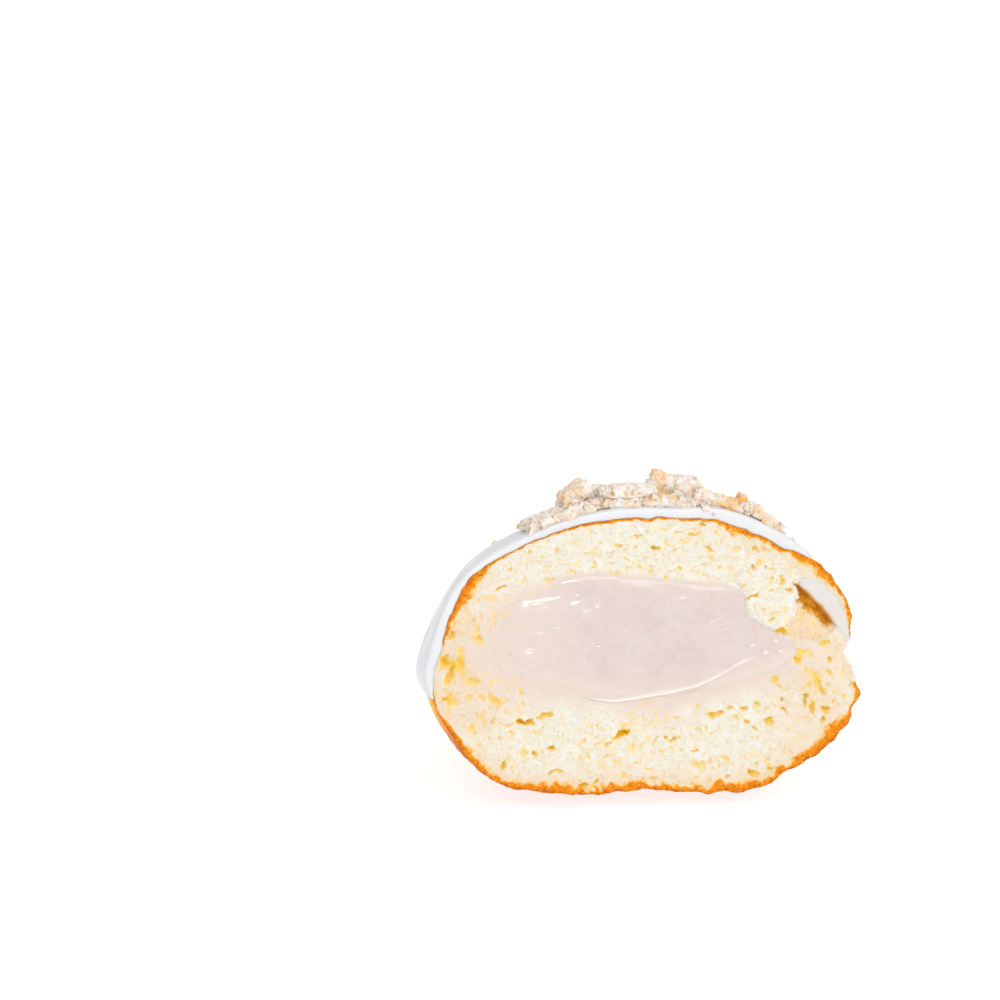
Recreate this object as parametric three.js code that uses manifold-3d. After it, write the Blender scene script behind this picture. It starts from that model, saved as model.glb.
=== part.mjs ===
import * as THREE from "three";
import { mergeVertices } from "three/addons/utils/BufferGeometryUtils.js";
import Module from "manifold-3d";

// Half of a filled doughnut with white icing and broken cereal squares on top, cut upright through its middle.
// Millimetres, +Z up. Each piece is shaped in the cut's own frame: X to the right along the cut, Y into the
// doughnut, Z up along the cut, with the origin at the middle of the widest level. The finished half then leans
// back on its round base until it balances, with the cut facing -Y and a little upwards.

// Outline of the dough in the cut: a superellipse, taller above the widest level than below it.
const HALF_WIDTH = 41.5;
const TOP_HEIGHT = 30.1;
const BOTTOM_DEPTH = 25.0;
const TOP_SQUARENESS = 2.15;
const BOTTOM_SQUARENESS = 2.9;
// Lumps of the hand-shaped outline: heading in degrees from +X towards the top, height and spread.
const LUMPS = [
  { heading: 22, height: 2.9, spread: 16 },
  { heading: -10, height: 2.5, spread: 9 },
  { heading: -48, height: 1.5, spread: 9 },
  { heading: -91, height: -1.1, spread: 13 },
  { heading: -141, height: 0.7, spread: 9 },
  { heading: -177, height: 2.6, spread: 12 },
  { heading: 156, height: 2.1, spread: 15 },
  { heading: 68, height: 0.6, spread: 9 },
];

// How the half stands.
const LEAN_DEG = 12;
const SEAT_DEPTH = 0.8;

// Space between neighbouring pieces.
const GAP = 0.3;

// Cream in its pocket: an oval in the cut, running back into the dough as half an egg.
const CREAM = { x: -1, z: 5.5, halfWidth: 31.3, up: 12.8, down: 12, upSquare: 2.6, downSquare: 1.9 };
const CREAM_DEPTH = 27;
const CREAM_BULGE = 1.3;
const POCKET_MOUTH = 4;
const POCKET_SHIFT = 0.1;
// Lobe of crumb that hangs over the right end of the cream.
const LOBE = { x: 27.5, z: 13.2, width: 9.5, height: 6.6, depth: 10, turn: -18 };

// Hole that the filling went in by, torn open by the cut, and the icing that ran into it.
const HOLE_DEPTH = 7.5;
const HOLE_OUTLINE = [
  [30.0, 16.0], [31.6, 18.2], [35.1, 16.5], [39.0, 12.4], [41.3, 8.2], [46.0, 6.0],
  [46.0, 2.4], [41.2, 2.4], [38.4, 4.2], [35.0, 5.0], [31.4, 6.2], [29.9, 10.0],
];
const RUN_IN_DEPTH = 6.5;
const RUN_IN_OUTLINE = [
  [30.6, 16.1], [31.8, 17.6], [34.9, 16.0], [38.7, 12.0], [40.9, 8.0], [41.6, 5.6],
  [40.6, 4.6], [39.2, 6.2], [38.0, 9.4], [35.8, 12.2], [33.2, 14.3],
];

// Large pores in the cut, chosen where the crumb is torn open: place, half sizes and turn.
const LARGE_PORES = [
  { x: -6.0, z: -12.9, width: 2.2, height: 0.8, turn: 28 },
  { x: -25.5, z: -9.8, width: 2.1, height: 0.8, turn: -14 },
  { x: 30.2, z: 1.4, width: 1.6, height: 1.2, turn: 35 },
  { x: 27.0, z: -3.4, width: 1.7, height: 1.0, turn: -40 },
  { x: -39.3, z: 0.4, width: 1.0, height: 2.4, turn: 18 },
  { x: -35.4, z: 7.2, width: 1.0, height: 2.5, turn: -20 },
  { x: -38.4, z: -7.6, width: 0.8, height: 2.4, turn: 22 },
  { x: -33.6, z: -2.6, width: 1.5, height: 0.8, turn: 20 },
  { x: -19.7, z: -15.3, width: 0.9, height: 0.8, turn: 0 },
  { x: 9.5, z: -17.0, width: 1.3, height: 1.0, turn: -30 },
  { x: 21.2, z: -9.8, width: 1.0, height: 0.9, turn: 0 },
  { x: 33.6, z: -9.6, width: 0.7, height: 1.6, turn: -25 },
];
const LARGE_PORE_DEPTH = 1.4;
// Small pores are drawn at random: how many, their size range, their proportions and how far they turn.
const SMALL_PORES = 56;
const SMALL_PORE = { size: 0.45, spread: 0.6, width: 1.4, depth: 1.3, height: 0.8, turn: 50 };
// Share of its size that a pore's centre lies behind the cut, and how far pores keep from the crust and cream.
const PORE_SINK = 0.2;
const PORE_EDGE = 3.2;
// The filling hole's surroundings, which stay free of small pores.
const HOLE_ZONE = { left: 26, low: 1, high: 20 };

// Icing: thickness at the crown, at its lower bead and at its rounded tip, and how far down it comes.
const ICING_CROWN = 2.1;
const ICING_BEAD = 2.5;
const NOSE_START = 0.95;
const NOSE_ROUND = 1.6;
const NOSE_FALL = 0.5;
const NOSE_TIP = 0.25;
const ICING_EDGE_DEG = -6.5;
const ICING_RISE_DEG = 41;
const ICING_RISE_SPREAD_DEG = 24;
// The coat is thicker on the right shoulder. It thins out sooner and more softly beside both ends of the cut.
const ICING_SHOULDER = { latitude: 60, spread: 13, height: 0.7, from: 0.2 };
const RIGHT_END = { spread: 22, sooner: 0.17, softer: 0.3 };
const LEFT_END = { spread: 14, sooner: 0.04, softer: 0.35 };
const LEFT_THIN = { spread: 26, share: 0.4, from: 0.3, to: 0.75 };
// Small crumbs in the icing: how many, the azimuths and latitudes they lie at, their sizes and how deep they sit.
const CRUMBS = 44;
const CRUMB_ZONE = { azimuth: 8, turn: 164, latitude: 46, drop: 28 };
const CRUMB_SIZE = 0.6;
const CRUMB_SPREAD = 0.8;
const CRUMB_SINK = 0.25;

// Cereal heap on the crown and the pieces in its front row, which show along the cut: centre, length, thickness,
// width into the heap, turn in the cut's plane, and lean to the back.
const HEAP_EDGE_DEG = 50;
const HEAP_WAVE_DEG = 4;
const HEAP_CORE = 2.0;
const HEAP_RIM = 0.4;
const HEAP_GAP = 0.55;
const FRONT_PIECES = [
  { x: -14.8, y: 4.5, z: 34.6, length: 6.4, thick: 2.8, width: 5.4, turn: 31, lean: 8 },
  { x: -18.7, y: 3.2, z: 30.0, length: 15.2, thick: 2.4, width: 7.0, turn: 19.5, lean: 4 },
  { x: -5.3, y: 3.4, z: 34.9, length: 12.6, thick: 2.4, width: 6.4, turn: 2, lean: -4 },
  { x: -4.6, y: 2.8, z: 32.8, length: 11.2, thick: 1.8, width: 5.4, turn: 1, lean: 0 },
  { x: 2.4, y: 3.6, z: 35.9, length: 5.4, thick: 5.2, width: 2.6, turn: -18, lean: 12 },
  { x: 2.7, y: 1.9, z: 33.2, length: 3.3, thick: 2.2, width: 3.2, turn: 6, lean: 0 },
  { x: 7.9, y: 4.0, z: 35.2, length: 5.0, thick: 4.8, width: 4.4, turn: -10, lean: 14 },
  { x: 11.1, y: 2.7, z: 33.4, length: 3.9, thick: 3.3, width: 4.2, turn: -20, lean: 8 },
  { x: 16.3, y: 3.3, z: 32.3, length: 6.8, thick: 2.2, width: 5.6, turn: -15, lean: -6 },
  { x: 18.8, y: 2.4, z: 32.5, length: 2.0, thick: 3.4, width: 3.2, turn: -14, lean: 8 },
  { x: 23.4, y: 3.0, z: 29.7, length: 9.2, thick: 2.1, width: 5.4, turn: -33, lean: 0 },
];
// Pieces behind the front row: how many, the azimuths that they lie at, how far out, and their sizes and heights.
const BACK_PIECES = 20;
const BACK_ROW = 8;
const HEAP_REACH = 24;
const BACK_ZONE = { azimuth: 24, turn: 110, jitter: 0.6 };
const BACK_LENGTH = { least: 4.5, spread: 4 };
const BACK_SHARE = { least: 0.6, spread: 0.3 };
const BACK_THICK = { least: 1.8, spread: 1.2 };
const BACK_HEIGHT = { least: 1.2, spread: 1.0 };
const BACK_TILT = 0.5;
// A broken square's corners for sides of two, and the least and further share of each side that a corner keeps.
const BROKEN_SQUARE = [[-1, -1], [0.1, -1], [1, -0.9], [1, 0.2], [0.8, 1], [-0.2, 1], [-1, 0.8]];
const BROKEN_SHARE = { least: 0.42, spread: 0.09 };
// Loose squares on the icing beside the heap: azimuth and latitude in degrees, side length, thickness, spin.
const LOOSE_PIECES = [
  { azimuth: 112, latitude: 25, side: 9.2, thick: 2.8, spin: 25 },
  { azimuth: 76, latitude: 20, side: 7.6, thick: 2.6, spin: 70 },
  { azimuth: 44, latitude: 30, side: 8.4, thick: 2.7, spin: -20 },
  { azimuth: 88, latitude: 39, side: 6.2, thick: 2.4, spin: 48 },
];
const LOOSE_WIDTH = 0.9;

// Fineness of the faceted solids.
const AZIMUTH_STEPS = 30;
const LATITUDE_STEPS = 26;
const ICING_STEPS = 14;
const NOSE_STEPS = 4;
const TRIM_STEPS = 16;
const CORE_STEPS = 5;
const CREAM_HEADINGS = 36;
const CREAM_FACE_RINGS = [0.45, 0.75, 0.92];
const CREAM_BACK_RINGS = 9;
const CREAM_TAPER = 0.7;
const SEED = 71;
const SEAM_TOLERANCE = 0.02;

const wasm = await Module();
wasm.setup();

/** Returns a function that draws repeatable numbers from 0 to 1. */
function randomDraws(seed) {
  const modulus = 2147483647;
  let state = seed * 7919;
  return () => {
    state = (state * 48271) % modulus;
    return state / modulus;
  };
}

const radians = THREE.MathUtils.degToRad;

/** Distance from the middle of a superellipse to its rim along a heading in degrees. */
function superellipse(heading, halfWidth, halfHeight, squareness) {
  const across = Math.abs(Math.cos(radians(heading)) / halfWidth) ** squareness;
  const upward = Math.abs(Math.sin(radians(heading)) / halfHeight) ** squareness;
  return (across + upward) ** (-1 / squareness);
}

/** Radius of the dough's outline in the cut along a heading in degrees. */
function outlineRadius(heading) {
  const above = Math.sin(radians(heading)) >= 0;
  let radius = above
    ? superellipse(heading, HALF_WIDTH, TOP_HEIGHT, TOP_SQUARENESS)
    : superellipse(heading, HALF_WIDTH, BOTTOM_DEPTH, BOTTOM_SQUARENESS);
  for (const lump of LUMPS) {
    const away = THREE.MathUtils.euclideanModulo(heading - lump.heading + 180, 360) - 180;
    radius += lump.height * Math.exp(-((away / lump.spread) ** 2));
  }
  return radius;
}

/** Radius of the dough at an azimuth (0 right, 180 left, 90 back) and a latitude, both in degrees. */
function doughRadius(azimuth, latitude) {
  const right = outlineRadius(latitude);
  const left = outlineRadius(180 - latitude);
  return THREE.MathUtils.lerp(left, right, (1 + Math.cos(radians(azimuth))) / 2);
}

/** Point at a radius, azimuth and latitude. */
function polar(radius, azimuth, latitude) {
  const level = radius * Math.cos(radians(latitude));
  return new THREE.Vector3(
    level * Math.cos(radians(azimuth)),
    level * Math.sin(radians(azimuth)),
    radius * Math.sin(radians(latitude)),
  );
}

/** Latitude in degrees down to which the icing comes at an azimuth: a wavy line that rises over the filling hole. */
function icingEdge(azimuth) {
  const waves = 2.6 * Math.sin(radians(3 * azimuth + 24)) - 1.7 * Math.sin(radians(7 * azimuth - 12));
  const inward = Math.sin(radians(azimuth));
  return ICING_EDGE_DEG + waves * inward + ICING_RISE_DEG * Math.exp(-((azimuth / ICING_RISE_SPREAD_DEG) ** 2));
}

/** Falls from 1 at a place to 0 away from it. */
function nearness(away, spread) {
  return Math.exp(-((away / spread) ** 2));
}

/** Share of the way down where the icing starts to thin at an azimuth. */
function noseStart(azimuth) {
  const right = RIGHT_END.sooner * nearness(azimuth, RIGHT_END.spread);
  return NOSE_START - right - LEFT_END.sooner * nearness(180 - azimuth, LEFT_END.spread);
}

/** Outer radius of the icing; down runs from 0 at the crown to 1 at the lower edge. */
function icingRadius(azimuth, down) {
  const latitude = 90 - down * (90 - icingEdge(azimuth));
  const start = noseStart(azimuth);
  const onNose = THREE.MathUtils.clamp((down - start) / (1 - start), 0, 1);
  const softer =
    RIGHT_END.softer * nearness(azimuth, RIGHT_END.spread) + LEFT_END.softer * nearness(180 - azimuth, LEFT_END.spread);
  const nose = (1 - onNose ** NOSE_ROUND) ** (NOSE_FALL + softer);
  const toRight = (1 + Math.cos(radians(azimuth))) / 2;
  const onShoulder = nearness(latitude - ICING_SHOULDER.latitude, ICING_SHOULDER.spread);
  const below = THREE.MathUtils.smoothstep(down, 0, ICING_SHOULDER.from);
  const shoulder = ICING_SHOULDER.height * toRight * onShoulder * below;
  const low = THREE.MathUtils.smoothstep(down, LEFT_THIN.from, LEFT_THIN.to);
  const thinned = 1 - LEFT_THIN.share * low * nearness(180 - azimuth, LEFT_THIN.spread);
  const thickness = (THREE.MathUtils.lerp(ICING_CROWN, ICING_BEAD, down ** 3) + shoulder) * thinned;
  return doughRadius(azimuth, latitude) + GAP + Math.max(thickness * nose, NOSE_TIP);
}

/** Outer radius of dough and icing together at an azimuth and latitude. */
function icedRadius(azimuth, latitude) {
  const down = (90 - latitude) / (90 - icingEdge(azimuth));
  return down < 1 ? icingRadius(azimuth, down) : doughRadius(azimuth, latitude);
}

/** Turns a closed geometry into a solid, with shared corners merged and details under a tolerance left out. */
function solidOf(geometry, tolerance = 1e-4) {
  geometry.deleteAttribute("normal");
  geometry.deleteAttribute("uv");
  const merged = mergeVertices(geometry, 1e-4);
  const corners = merged.index.array;
  const kept = [];
  for (let i = 0; i < corners.length; i += 3) {
    const [a, b, c] = [corners[i], corners[i + 1], corners[i + 2]];
    if (a !== b && b !== c && c !== a) kept.push(a, b, c);
  }
  return new wasm.Manifold(
    new wasm.Mesh({
      numProp: 3,
      vertProperties: new Float32Array(merged.attributes.position.array),
      triVerts: new Uint32Array(kept),
      tolerance,
    }),
  );
}

/** Geometry of the triangles between points, listed three by three. */
function geometryOf(points) {
  const positions = new Float32Array(points.flatMap((p) => [p.x, p.y, p.z]));
  return new THREE.BufferGeometry().setAttribute("position", new THREE.BufferAttribute(positions, 3));
}

/**
 * Half turn of a section about the Z axis. sectionAt(azimuth) gives two rows of points of equal length, outer and
 * inner, that both start on the axis; the rows are joined at their far ends, and flat faces close the cut.
 */
function halfTurn(sectionAt, steps) {
  const points = [];
  const quad = (a, b, c, d) => points.push(a, b, c, a, c, d);
  const sections = Array.from({ length: steps + 1 }, (_, i) => sectionAt((180 * i) / steps));
  for (let i = 0; i < steps; i++) {
    const near = sections[i];
    const far = sections[i + 1];
    const last = near.outer.length - 1;
    for (let j = 0; j < last; j++) {
      quad(near.outer[j], near.outer[j + 1], far.outer[j + 1], far.outer[j]);
      quad(near.inner[j + 1], near.inner[j], far.inner[j], far.inner[j + 1]);
    }
    quad(near.outer[last], near.inner[last], far.inner[last], far.outer[last]);
  }
  for (const [section, flip] of [[sections[0], false], [sections[steps], true]]) {
    for (let j = 0; j < section.outer.length - 1; j++) {
      const ring = [section.outer[j], section.inner[j], section.inner[j + 1], section.outer[j + 1]];
      quad(...(flip ? ring.reverse() : ring));
    }
  }
  return geometryOf(points);
}

/** The half as one body out to a radius function, used for the dough and to trim what lies on the icing. */
function halfBody(radiusAt, grow, azimuthSteps, latitudeSteps) {
  return solidOf(
    halfTurn((azimuth) => {
      const outer = [];
      const inner = [];
      for (let j = 0; j <= latitudeSteps; j++) {
        const latitude = 90 - (180 * j) / latitudeSteps;
        const point = polar(radiusAt(azimuth, latitude) + grow, azimuth, latitude);
        if (j === 0 || j === latitudeSteps) point.setX(0).setY(0);
        outer.push(point);
        const pole = radiusAt(0, latitude > 0 ? 90 : -90) + grow;
        inner.push(new THREE.Vector3(0, 0, pole * Math.sin(radians(latitude))));
      }
      return { outer, inner };
    }, azimuthSteps),
  );
}

/** An ellipsoid in the cut: centre, half sizes, turn in the cut's plane. */
function ellipsoid(x, y, z, width, depth, height, turn, detail) {
  const geometry = new THREE.IcosahedronGeometry(1, detail);
  geometry.scale(width, depth, height);
  geometry.rotateY(-radians(turn));
  geometry.translate(x, y, z);
  return solidOf(geometry);
}

/** An outline in the cut's plane, made solid from y = front to y = back. */
function slab(outline, front, back) {
  const shape = new THREE.Shape(outline.map(([x, z]) => new THREE.Vector2(x, z)));
  const geometry = new THREE.ExtrudeGeometry(shape, { depth: back - front, bevelEnabled: false, steps: 1 });
  geometry.rotateX(Math.PI / 2);
  geometry.translate(0, back, 0);
  return solidOf(geometry);
}

/** The cream's body, grown all round, with a domed face that stands out of the cut by bulge. */
function creamBody(grow, bulge) {
  const rounded = (value, square) => Math.sign(value) * Math.abs(value) ** (2 / square);
  const ring = (scale, y) =>
    Array.from({ length: CREAM_HEADINGS }, (_, i) => {
      const turn = (2 * Math.PI * i) / CREAM_HEADINGS;
      const above = Math.sin(turn) >= 0;
      const square = above ? CREAM.upSquare : CREAM.downSquare;
      const halfHeight = (above ? CREAM.up : CREAM.down) + grow;
      return new THREE.Vector3(
        CREAM.x + scale * (CREAM.halfWidth + grow) * rounded(Math.cos(turn), square),
        y,
        CREAM.z + scale * halfHeight * rounded(Math.sin(turn), square),
      );
    });
  const rings = [ring(0, -bulge)];
  for (const scale of CREAM_FACE_RINGS) rings.push(ring(scale, -bulge * (1 - scale ** 4)));
  for (let i = 0; i < CREAM_BACK_RINGS; i++) {
    const turn = (Math.PI / 2) * (i / CREAM_BACK_RINGS);
    rings.push(ring(Math.cos(turn) ** CREAM_TAPER, (CREAM_DEPTH + grow) * Math.sin(turn)));
  }
  rings.push(ring(0, CREAM_DEPTH + grow));
  const points = [];
  for (let j = 0; j < rings.length - 1; j++) {
    for (let i = 0; i < CREAM_HEADINGS; i++) {
      const next = (i + 1) % CREAM_HEADINGS;
      const [a, b] = [rings[j][i], rings[j][next]];
      const [c, d] = [rings[j + 1][next], rings[j + 1][i]];
      points.push(a, c, b, a, d, c);
    }
  }
  return solidOf(geometryOf(points));
}

/** The lobe of crumb, grown all round. */
function lobe(grow) {
  return ellipsoid(LOBE.x, 1, LOBE.z, LOBE.width + grow, LOBE.depth + grow, LOBE.height + grow, LOBE.turn, 2);
}

/** True where the crumb is bare: clear of the crust, the cream and the filling hole. */
function isBareCrumb(x, z) {
  const reach = Math.hypot(x, z);
  if (reach > outlineRadius(THREE.MathUtils.radToDeg(Math.atan2(z, x))) - PORE_EDGE) return false;
  const across = Math.abs(x - CREAM.x) / (CREAM.halfWidth + PORE_EDGE);
  const upward = Math.abs(z - CREAM.z) / (CREAM.up + PORE_EDGE);
  const inHole = x > HOLE_ZONE.left && z > HOLE_ZONE.low && z < HOLE_ZONE.high;
  return across ** 2 + upward ** 2 > 1 && !inHole;
}

/** Pores that open in the cut. */
function pores() {
  const draw = randomDraws(SEED);
  const list = LARGE_PORES.map(({ x, z, width, height, turn }) =>
    ellipsoid(x, width * PORE_SINK, z, width, width * LARGE_PORE_DEPTH, height, turn, 1),
  );
  while (list.length < LARGE_PORES.length + SMALL_PORES) {
    const x = (2 * draw() - 1) * HALF_WIDTH;
    const z = THREE.MathUtils.lerp(-BOTTOM_DEPTH, TOP_HEIGHT, draw());
    const size = SMALL_PORE.size + SMALL_PORE.spread * draw() ** 2;
    const turn = SMALL_PORE.turn * (draw() - 0.5);
    const [width, depth, height] = [SMALL_PORE.width, SMALL_PORE.depth, SMALL_PORE.height].map((v) => v * size);
    if (isBareCrumb(x, z)) list.push(ellipsoid(x, size * PORE_SINK, z, width, depth, height, turn, 0));
  }
  return list;
}

/** Half space below the level that the leaning half rests on, as a large box in the cut's frame. */
function floorCutter(body) {
  const lean = radians(LEAN_DEG);
  const mesh = body.getMesh();
  let lowest = Infinity;
  for (let i = 0; i < mesh.vertProperties.length; i += mesh.numProp) {
    const level = mesh.vertProperties[i + 2] * Math.cos(lean) - mesh.vertProperties[i + 1] * Math.sin(lean);
    lowest = Math.min(lowest, level);
  }
  const size = 200;
  const geometry = new THREE.BoxGeometry(size, size, size);
  geometry.translate(0, 0, lowest + SEAT_DEPTH - size / 2);
  geometry.rotateX(lean);
  return solidOf(geometry);
}

/** The dough with its pocket, filling hole and pores. */
function doughSolid() {
  let dough = halfBody(doughRadius, 0, AZIMUTH_STEPS, LATITUDE_STEPS);
  dough = dough.subtract(floorCutter(dough));
  const pocket = creamBody(GAP + POCKET_SHIFT, POCKET_MOUTH).translate(0, -POCKET_SHIFT, 0).subtract(lobe(0));
  dough = dough.subtract(pocket).subtract(slab(HOLE_OUTLINE, -1, HOLE_DEPTH));
  for (const pore of pores()) dough = dough.subtract(pore);
  return largestBody(dough);
}

/** The cream, clear of the lobe. */
function creamSolid() {
  return largestBody(creamBody(0, CREAM_BULGE).subtract(lobe(GAP)));
}

/** The geometry of a solid. */
function geometryOfSolid(solid) {
  const made = solid.getMesh();
  const geometry = new THREE.BufferGeometry();
  geometry.setAttribute("position", new THREE.BufferAttribute(new Float32Array(made.vertProperties), 3));
  return geometry.setIndex(new THREE.BufferAttribute(new Uint32Array(made.triVerts), 1));
}

/** The largest body of a cut or joined solid, without the slivers along its seams. */
function largestBody(solid) {
  const closed = solidOf(geometryOfSolid(solid), SEAM_TOLERANCE);
  return closed.decompose().reduce((best, body) => (body.volume() > best.volume() ? body : best));
}

/** Frame on the iced surface at an azimuth and latitude: +Z out of the surface, placed at a height above it. */
function surfaceFrame(azimuth, latitude, height) {
  const step = 1;
  const at = (az, lat) => polar(icedRadius(az, lat), az, lat);
  const along = at(azimuth + step, latitude).sub(at(azimuth - step, latitude)).normalize();
  const upward = at(azimuth, latitude + step).sub(at(azimuth, latitude - step)).normalize();
  const out = new THREE.Vector3().crossVectors(along, upward).normalize();
  upward.crossVectors(out, along);
  return new THREE.Matrix4()
    .makeBasis(along, upward, out)
    .setPosition(at(azimuth, latitude).addScaledVector(out, height));
}

/** A broken piece of a cereal square: a flat slab in X and Y with uneven straight edges. */
function brokenPiece(length, width, thick, draw) {
  const share = () => BROKEN_SHARE.least + BROKEN_SHARE.spread * draw();
  const outline = BROKEN_SQUARE.map(([x, y]) => new THREE.Vector2(x * length * share(), y * width * share()));
  const geometry = new THREE.ExtrudeGeometry(new THREE.Shape(outline), {
    depth: thick,
    bevelEnabled: false,
    steps: 1,
  });
  return geometry.translate(0, 0, -thick / 2);
}

/** A small crumb set into the iced surface. */
function crumb(azimuth, latitude, size) {
  const geometry = new THREE.IcosahedronGeometry(size, 0);
  geometry.scale(1, 0.8, 0.55);
  return solidOf(geometry.applyMatrix4(surfaceFrame(azimuth, latitude, CRUMB_SINK * size)));
}

/** Icing with small cereal crumbs set into it where it is thick, clear of the larger cereal pieces. */
function icingSolid(largerPieces) {
  let icing = solidOf(
    halfTurn((azimuth) => {
      const outer = [];
      const inner = [];
      const edge = icingEdge(azimuth);
      for (let j = 0; j <= ICING_STEPS + NOSE_STEPS; j++) {
        const onNose = (Math.PI / 2) * ((j - ICING_STEPS) / NOSE_STEPS);
        const down = j <= ICING_STEPS ? (NOSE_START * j) / ICING_STEPS : NOSE_START + (1 - NOSE_START) * Math.sin(onNose);
        const latitude = 90 - down * (90 - edge);
        const top = polar(icingRadius(azimuth, down), azimuth, latitude);
        const under = polar(doughRadius(azimuth, latitude) + GAP, azimuth, latitude);
        if (j === 0) {
          top.setX(0).setY(0);
          under.setX(0).setY(0);
        }
        outer.push(top);
        inner.push(under);
      }
      return { outer, inner };
    }, AZIMUTH_STEPS),
  );
  const draw = randomDraws(SEED + 1);
  for (let i = 0; i < CRUMBS; i++) {
    const azimuth = CRUMB_ZONE.azimuth + CRUMB_ZONE.turn * draw();
    const latitude = CRUMB_ZONE.latitude - CRUMB_ZONE.drop * draw() ** 1.5;
    const size = CRUMB_SIZE + CRUMB_SPREAD * draw();
    const around = crumb(azimuth, latitude, size + 2 * GAP);
    const isClear = largerPieces.every((piece) => piece.intersect(around).isEmpty());
    const isThick = icedRadius(azimuth, latitude) - doughRadius(azimuth, latitude) > ICING_CROWN;
    if (isClear && isThick) icing = icing.add(crumb(azimuth, latitude, size));
  }
  return largestBody(icing);
}

/** Cereal heap on the crown: a low core with the showing pieces fused on, trimmed clear of the icing. */
function heapSolid() {
  let heap = solidOf(
    halfTurn((azimuth) => {
      const outer = [];
      const inner = [];
      const edge = HEAP_EDGE_DEG + HEAP_WAVE_DEG * Math.sin(radians(4 * azimuth));
      for (let j = 0; j <= CORE_STEPS; j++) {
        const down = j / CORE_STEPS;
        const latitude = 90 - down * (90 - edge);
        const base = icedRadius(azimuth, latitude) + HEAP_GAP;
        const top = polar(base + HEAP_RIM + HEAP_CORE * (1 - down ** 3), azimuth, latitude);
        const under = polar(base - HEAP_RIM, azimuth, latitude);
        if (j === 0) {
          top.setX(0).setY(0);
          under.setX(0).setY(0);
        }
        outer.push(top);
        inner.push(under);
      }
      return { outer, inner };
    }, TRIM_STEPS),
  );
  const draw = randomDraws(SEED + 2);
  for (const p of FRONT_PIECES) {
    const piece = brokenPiece(p.length, p.width, p.thick, draw);
    piece.rotateX(radians(p.lean));
    piece.rotateY(-radians(p.turn));
    piece.translate(p.x, p.y, p.z);
    heap = heap.add(solidOf(piece));
  }
  for (let i = 0; i < BACK_PIECES; i++) {
    const azimuth = BACK_ZONE.azimuth + BACK_ZONE.turn * ((i + BACK_ZONE.jitter * draw()) / BACK_PIECES);
    const nearest = BACK_ROW / Math.sin(radians(azimuth));
    const away = THREE.MathUtils.lerp(nearest, HEAP_REACH, draw());
    const latitude = 90 - ((90 - HEAP_EDGE_DEG) * away) / HEAP_REACH;
    const drawn = ({ least, spread }) => least + spread * draw();
    const length = drawn(BACK_LENGTH);
    const piece = brokenPiece(length, length * drawn(BACK_SHARE), drawn(BACK_THICK), draw);
    piece.rotateX(BACK_TILT * (draw() - 0.5));
    piece.rotateZ(2 * Math.PI * draw());
    piece.applyMatrix4(surfaceFrame(azimuth, latitude, drawn(BACK_HEIGHT)));
    heap = heap.add(solidOf(piece));
  }
  heap = heap.subtract(halfBody(icedRadius, HEAP_GAP, TRIM_STEPS, TRIM_STEPS));
  return largestBody(heap);
}

/** A loose square lying on the icing. */
function loosePiece(p, draw) {
  const piece = brokenPiece(p.side, p.side * LOOSE_WIDTH, p.thick, draw);
  piece.rotateZ(radians(p.spin));
  piece.applyMatrix4(surfaceFrame(p.azimuth, p.latitude, p.thick / 2 + GAP));
  return solidOf(piece);
}

/** Plain finish of a colour and roughness. */
function material(color, roughness) {
  return new THREE.MeshStandardMaterial({ color, roughness, metalness: 0 });
}

/** Named mesh of a solid. */
function meshOf(name, solid, finish) {
  const geometry = geometryOfSolid(solid);
  geometry.computeVertexNormals();
  const mesh = new THREE.Mesh(geometry, finish);
  mesh.name = name;
  return mesh;
}

const crumbFinish = material(0xf2ead8, 0.85);
const creamFinish = material(0xe8dad1, 0.35);
const icingFinish = material(0xe8ecee, 0.3);
const cerealFinish = material(0xe2cdb0, 0.8);

const looseDraw = randomDraws(SEED + 3);
const loosePieces = LOOSE_PIECES.map((p) => loosePiece(p, looseDraw));
const around = loosePieces.reduce((joined, piece) => joined.add(piece));
const heap = heapSolid();

const half = new THREE.Group();
half.add(meshOf("dough", doughSolid(), crumbFinish));
half.add(meshOf("cream_filling", creamSolid(), creamFinish));
half.add(meshOf("icing", icingSolid([heap, around]), icingFinish));
half.add(meshOf("icing_in_hole", slab(RUN_IN_OUTLINE, GAP, RUN_IN_DEPTH), icingFinish));
half.add(meshOf("cereal_heap", heap, cerealFinish));
loosePieces.forEach((piece, i) => half.add(meshOf(`cereal_piece_${i + 1}`, piece, cerealFinish)));

// The half leans back, and its box stands on the origin.
half.rotation.x = -radians(LEAN_DEG);
half.updateMatrixWorld(true);
const box = new THREE.Box3().setFromObject(half, true);
half.position.set(-(box.min.x + box.max.x) / 2, -(box.min.y + box.max.y) / 2, -box.min.z);

const root = new THREE.Group();
root.add(half);
export default root;
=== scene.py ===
import enum
import logging
import math
from dataclasses import dataclass, field
from itertools import product
from typing import Callable, Iterable, Sequence

import bmesh
import bpy
import numpy as np
from mathutils import Matrix, Vector


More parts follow.
